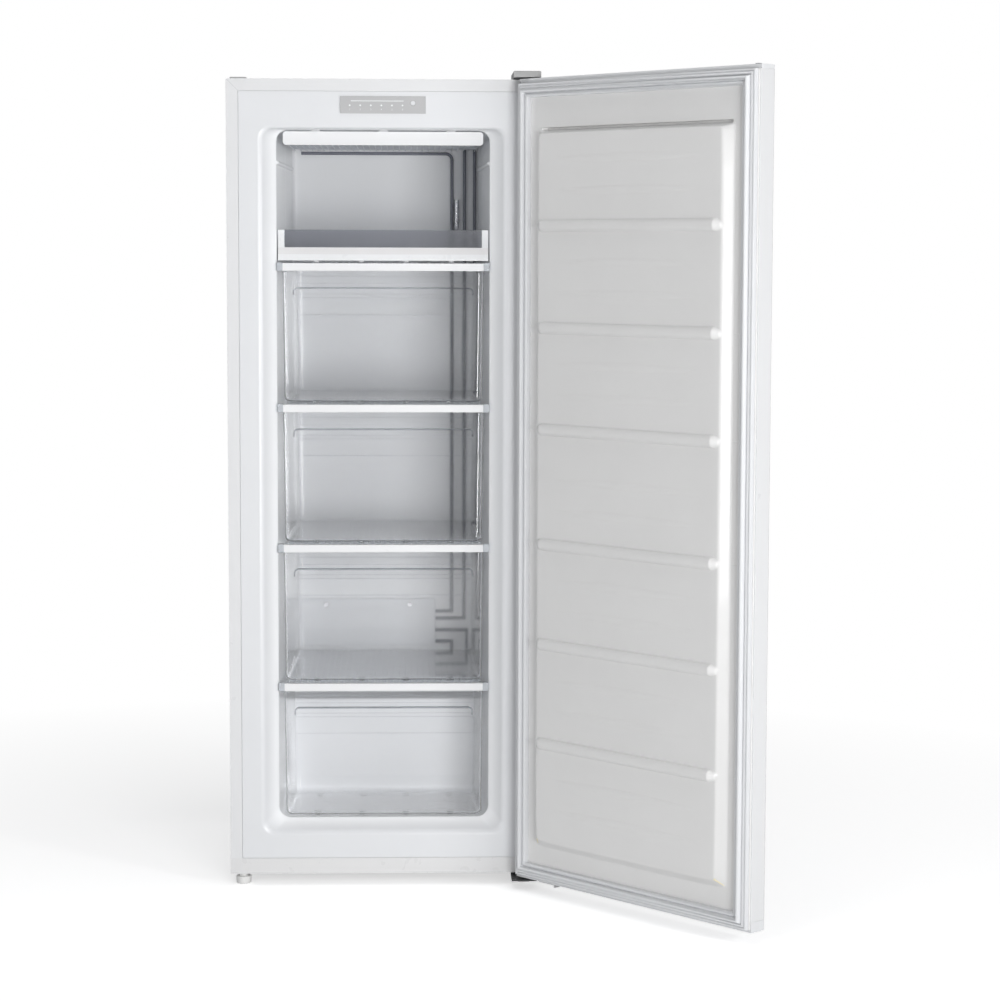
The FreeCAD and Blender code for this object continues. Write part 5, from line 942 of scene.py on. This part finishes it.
# --- Door liner: one drawn sheet with a flat land, a raised middle with softly rounded sides, six
# rounded bars that thin out over its sides, a deep groove above it and two lens-shaped swells a bay.
door_plastic = finish(
    "door_liner_plastic", (0.80, 0.798, 0.793), (0.77, 0.768, 0.763), 0.36, 1000.0, 0.000007, 0.0004,
    None, 0.12, Coat_Weight=0.15,
)
LAND_Y, FACE_Y, LAND_HALF = -0.016, 0.001, 0.2725
LAND_LOW, LAND_HIGH = 0.0275, 1.4295
PLATEAU_HALF, PLATEAU_LOW, PLATEAU_HIGH = 0.211, 0.100, 1.341
SLOPE, TOP_SLOPE = 0.013, 0.0045
RIB_HALF, RIB_PROUD = 0.0105, 0.009
GROOVE_LOW, GROOVE_HIGH, GROOVE_HALF, GROOVE_DEPTH = 1.3455, 1.3515, 0.219, 0.010
SWELL_HALF_LENGTH, SWELL_HALF_HEIGHT, SWELL_PROUD = 0.162, 0.0072, 0.0011
rib_middles = [PLATEAU_LOW + 0.176 + 0.1763 * i + 0.0247 * (i // 3) for i in range(6)]
swell_middles = [z + offset for z in rib_middles for offset in (0.060, 0.114)]
swell_middles += [rib_middles[0] - 0.062, rib_middles[0] - 0.116]


def soft_step(u, soft=0.14):
    """0 below 0 and 1 above 1, with both bends rounded."""
    return (math.sqrt(u * u + soft * soft) - math.sqrt((1 - u) ** 2 + soft * soft) + 1) / 2


def soft_max(a, b, soft=0.7):
    return (a + b + math.sqrt((a - b) ** 2 + soft * soft)) / 2


def between(value, stations):
    """The value read along straight runs between stations."""
    for (x0, y0), (x1, y1) in zip(stations, stations[1:]):
        if value <= x1:
            return y0 + (y1 - y0) * max(0.0, (value - x0) / (x1 - x0))
    return stations[-1][1]


def liner_height(x, z):
    """How far to the back the door liner's face lies at a place, with the door shut."""
    across = abs(x)
    side = (across - PLATEAU_HALF) / SLOPE
    up = soft_max((PLATEAU_LOW - z) / SLOPE, (z - PLATEAU_HIGH) / TOP_SLOPE, 0.01)
    y = FACE_Y + (LAND_Y - FACE_Y) * min(1.0, max(0.0, soft_step(soft_max(side, up))))
    crown = between(across, ((0.198, FACE_Y + RIB_PROUD), (0.2095, FACE_Y + 0.0025), (0.222, LAND_Y + 0.0005)))
    share = between(across, ((0.198, 1.0), (0.2095, 0.72), (0.222, 0.1)))
    for middle in rib_middles:
        off = abs(z - middle) / (RIB_HALF * share)
        if off < 1:
            y = max(y, crown - RIB_PROUD * share * (1 - (1 - off ** 2.4) ** 0.55))
    for middle in swell_middles:
        reach = 1 - (across / SWELL_HALF_LENGTH) ** 2
        if reach > 0:
            off = (z - middle) / (SWELL_HALF_HEIGHT * reach ** 0.8)
            if abs(off) < 1:
                y += SWELL_PROUD * reach ** 0.5 * (1 - off * off) ** 0.7
    if GROOVE_LOW < z < GROOVE_HIGH:
        taper = min(1.0, max(0.0, (GROOVE_HALF - across) / 0.006))
        walls = min(1.0, (z - GROOVE_LOW) / 0.0009, (GROOVE_HIGH - z) / 0.0006)
        y = min(y, LAND_Y) - GROOVE_DEPTH * taper * walls
    return y


def grid_lines(low, high, step, dense):
    """Grid places from low to high: an even spacing with finer places round each feature."""
    count = math.ceil((high - low) / step)
    places = {round(low + (high - low) * i / count, 5) for i in range(count + 1)}
    for middle, reach, fine in dense:
        steps = math.ceil(reach / fine)
        near = [middle + fine * i for i in range(-steps, steps + 1)]
        places |= {round(place, 5) for place in near if low < place < high}
    kept = []
    for place in sorted(places):
        if not kept or place - kept[-1] > 0.0002:
            kept.append(place)
    return kept


side_dense = [(side * 0.2105, 0.0155, 0.0012) for side in (-1, 1)]
xs = grid_lines(-LAND_HALF, LAND_HALF, 0.012, side_dense)
rib_dense = [(z, 0.0108, 0.0009) for z in rib_middles]
swell_dense = [(z, 0.0072, 0.0012) for z in swell_middles]
end_dense = [(PLATEAU_LOW - 0.006, 0.012, 0.0013), (PLATEAU_HIGH + 0.0035, 0.0095, 0.0005)]
zs = grid_lines(LAND_LOW, LAND_HIGH, 0.014, rib_dense + swell_dense + end_dense)
form = bmesh.new()
rows = [[form.verts.new((x, liner_height(x, z), z)) for x in xs] for z in zs]
for below, above in zip(rows, rows[1:]):
    for i in range(len(xs) - 1):
        form.faces.new((below[i + 1], below[i], above[i], above[i + 1]))
border = [edge for edge in form.edges if edge.is_boundary]
skirt = bmesh.ops.extrude_edge_only(form, edges=border)
for corner in (item for item in skirt["geom"] if isinstance(item, bmesh.types.BMVert)):
    corner.co.y = -0.018
form.transform(door_turn)
add_piece("door_liner_form", form, "door", [door_plastic], ("door_liner",), sharp=50)

# --- Door gasket: soft extruded rubber with a hollow crest, a bellows fold and fine flutes, welded
# in mitres at its four corners.
gasket_rubber = finish(
    "gasket_rubber", (0.735, 0.745, 0.76), (0.70, 0.71, 0.73), 0.5, 1500.0, 0.000015, 0.0003, None, 0.25
)
GASKET_HALF, GASKET_LOW, GASKET_HIGH = 0.271, 0.027, 1.430
gasket_profile = (
    (0.0, -15.8), (0.0, -10.2), (0.8, -8.6), (2.2, -7.9), (3.7, -8.5), (4.5, -9.8), (5.2, -8.4),
    (6.4, -7.2), (8.0, -7.0), (9.2, -8.0), (9.8, -9.2), (10.5, -6.0), (11.4, -2.6), (12.6, -0.9),
    (14.4, -0.4), (16.2, -0.9), (17.4, -2.8), (18.0, -6.2), (18.6, -9.0), (19.6, -7.2), (20.9, -5.7),
    (22.6, -5.5), (24.3, -6.0), (25.4, -7.2), (26.0, -9.2), (26.0, -15.8),
)
form = bmesh.new()
loft(form, [
    [
        (sx * (GASKET_HALF - d / 1000), y / 1000, (GASKET_HIGH - d / 1000) if up else (GASKET_LOW + d / 1000))
        for sx, up in ((1, True), (-1, True), (-1, False), (1, False))
    ]
    for d, y in gasket_profile
], closed=True)
form.transform(door_turn)
add_piece("door_gasket_form", form, "door", [gasket_rubber], ("door_gasket",), sharp=60)

# --- Door caps, plug, bushes and stop: moulded end caps with a narrow gap above the skin, its shade painted
# as a dark band on the top cap, a plug in the spare hinge hole, and the plate under the door that stops it.
cap_plastic = finish(
    "cap_plastic", (0.76, 0.77, 0.785), (0.73, 0.74, 0.755), 0.34, 1300.0, 0.000009, 0.0002, None, 0.2
)
# Painted shade: the top cap's gap band is painted near-black for the shade in the gap; above GAP_TOP it keeps
# the cap's own colour.
painted_gap_shade = finish("cap_gap_painted_shade", (0.10, 0.10, 0.11), (0.07, 0.07, 0.08), 0.7, 900.0, 0.00001)
GAP_LOW, GAP_TOP, GAP_HIGH = 1.4305, 1.4319, 1.4340
above_gap = calc(painted_gap_shade.node_tree, "GREATER_THAN", axes_of(painted_gap_shade.node_tree)["Z"], GAP_TOP)
tint_over(painted_gap_shade, above_gap, (0.76, 0.77, 0.785))
cap_facing = door_turn.to_3x3() @ Vector((0, 1, 0))


# Faces in the gap band that face out from the door get the painted shade.
def cap_paint_of(face):
    centre = face.calc_center_median()
    return int(GAP_LOW - 0.0002 < centre.z < GAP_HIGH + 0.0002 and abs(face.normal.dot(cap_facing)) > 0.9)


dress("door_top_cap", [cap_plastic, painted_gap_shade], 0.0004, cap_paint_of)
dress("door_bottom_cap", [cap_plastic], 0.0004)
bush_paint = finish("bush_plastic", (0.80, 0.80, 0.80), (0.74, 0.74, 0.74), 0.35, 1300.0, 0.00001)
dress("door_bushes", [bush_paint], 0.0002)
plug_paint = finish("hole_plug", (0.55, 0.56, 0.58), (0.50, 0.51, 0.53), 0.4, 1300.0, 0.00001)
dress("door_hole_plug", [plug_paint], 0.0004)
stop_paint = finish(
    "stop_plate", (0.66, 0.66, 0.66), (0.58, 0.58, 0.59), 0.35, 700.0, 0.00001, rub=(0.8, 0.8, 0.8),
    Metallic=0.5,
)
dress("door_stop", [stop_paint], 0.0003)

# --- Hinges: black steel brackets screwed to the cabinet, the upper one under a moulded cover, with
# a small cover over the spare holes on the other side.
hinge_steel = finish(
    "hinge_steel", (0.045, 0.045, 0.05), (0.03, 0.03, 0.033), 0.38, 800.0, 0.00001,
    rub=(0.30, 0.30, 0.31), Metallic=0.4,
)
for node_name in ("top_hinge_bracket", "lower_hinge_bracket"):
    dress(node_name, [hinge_steel], 0.0004)
hinge_plastic = finish(
    "hinge_plastic", (0.42, 0.42, 0.42), (0.38, 0.38, 0.382), 0.45, 1500.0, 0.00002, dust=0.35
)
dress("top_hinge_cover", [hinge_plastic], 0.0004)
dress("blank_hinge_cover", [hinge_plastic], 0.0005)
dress("hinge_screws", [screw_paint], 0.0002)

# --- Feet: moulded adjusting feet with a ribbed grip at the front and plain pads at the back.
foot_plastic = finish("foot_plastic", (0.86, 0.86, 0.85), (0.81, 0.81, 0.80), 0.5, 1200.0, 0.00002, dust=0.3)
FOOT_RIBS = 24
for node_name in ("foot_front_left", "foot_front_right"):
    foot_low, foot_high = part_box(node_name)
    centre_x, centre_y = (foot_low.x + foot_high.x) / 2, (foot_low.y + foot_high.y) / 2
    radius = (foot_high.x - foot_low.x) / 2
    rings = []
    for z, wide, ribbed in (
        (0.0, 0.86, 0), (0.0012, 0.95, 0), (0.003, 0.97, 0), (0.0036, 0.93, 0), (0.0044, 0.97, 1),
        (0.0125, 0.99, 1), (0.0135, 0.93, 0), (0.0142, 0.62, 0), (foot_high.z - 0.0002, 0.60, 0),
    ):
        ring = []
        for i in range(FOOT_RIBS * 4):
            angle = 2 * math.pi * i / (FOOT_RIBS * 4)
            reach = radius * (wide + (0.01 * math.cos(FOOT_RIBS * angle) - 0.02 if ribbed else -0.02))
            ring.append((centre_x + reach * math.cos(angle), centre_y + reach * math.sin(angle), z))
        rings.append(ring)
    form = bmesh.new()
    loft(form, rings, True, True)
    body = frame["nodes"][node_name]["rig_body"]
    add_piece(node_name + "_form", form, body, [foot_plastic], (node_name,))
rubber = finish("foot_rubber", (0.04, 0.04, 0.04), (0.055, 0.055, 0.055), 0.75, 1000.0, 0.00003, dust=0.4)
dress("rear_feet", [rubber], 0.0008)

# --- Machine compartment: black enamelled compressor on rubber mounts, its terminal box, the copper
# filter drier and the gland where the mains lead leaves.
compressor_paint = finish(
    "compressor_paint", (0.025, 0.025, 0.027), (0.04, 0.04, 0.042), 0.3, 500.0, 0.00002, 0.0002,
    (0.2, 0.2, 0.2), 0.5,
)
dress("compressor", [compressor_paint], 0.0012, steps=3)
dress("compressor_mounts", [rubber], 0.0008)
terminal_plastic = finish(
    "terminal_plastic", (0.09, 0.09, 0.10), (0.07, 0.07, 0.08), 0.5, 1200.0, 0.00002, dust=0.4
)
dress("terminal_box", [terminal_plastic], 0.0012, steps=3)
copper = finish(
    "copper", (0.70, 0.36, 0.22), (0.48, 0.24, 0.15), 0.3, 300.0, 0.00001, 0.0001, None, 0.3, Metallic=1.0
)
dress("filter_drier", [copper], 0.0015, steps=3)
dress("cord_gland", [hinge_plastic], 0.0006)

# --- Condenser: black enamelled tube bent to and fro up the back, welded to a grid of fine wires.
condenser_paint = finish(
    "condenser_paint", (0.035, 0.035, 0.037), (0.055, 0.055, 0.055), 0.42, 700.0, 0.00001, 0.0001,
    None, 0.5,
)
bent_coil("condenser_coil", 17, 0.003, 2, condenser_paint)
net_low, net_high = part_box("condenser_wires")
wire_net(
    "condenser_net", ((net_low.x + net_high.x) / 2, net_high.y - 0.0009, (net_low.z + net_high.z) / 2),
    Matrix.Rotation(math.radians(-90), 4, "X"), "condenser_paint", condenser_paint, ("condenser_wires",),
    Length=net_high.z - net_low.z, Wires=27, Pitch=0.016, Radius=0.0008, Rails=6,
)
LUG_PLACE, LUG_WIDTH, LUG_HEIGHT = 0.180, 0.012, 0.004
form = bmesh.new()
for x in (-LUG_PLACE, LUG_PLACE):
    for z in (net_low.z + LUG_HEIGHT / 2, net_high.z - LUG_HEIGHT / 2):
        lug_size = (LUG_WIDTH, net_high.y - net_low.y, LUG_HEIGHT, 1)
        lug_place = Matrix.Translation((x, (net_low.y + net_high.y) / 2, z))
        bmesh.ops.create_cube(form, size=1, matrix=lug_place @ Matrix.Diagonal(lug_size))
bmesh.ops.bevel(form, geom=form.edges[:], offset=0.0006, segments=2, affect="EDGES", profile=0.5)
add_piece("condenser_lugs", form, "cabinet", [condenser_paint])

# --- Sizes: the object's box after dressing.
low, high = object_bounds()
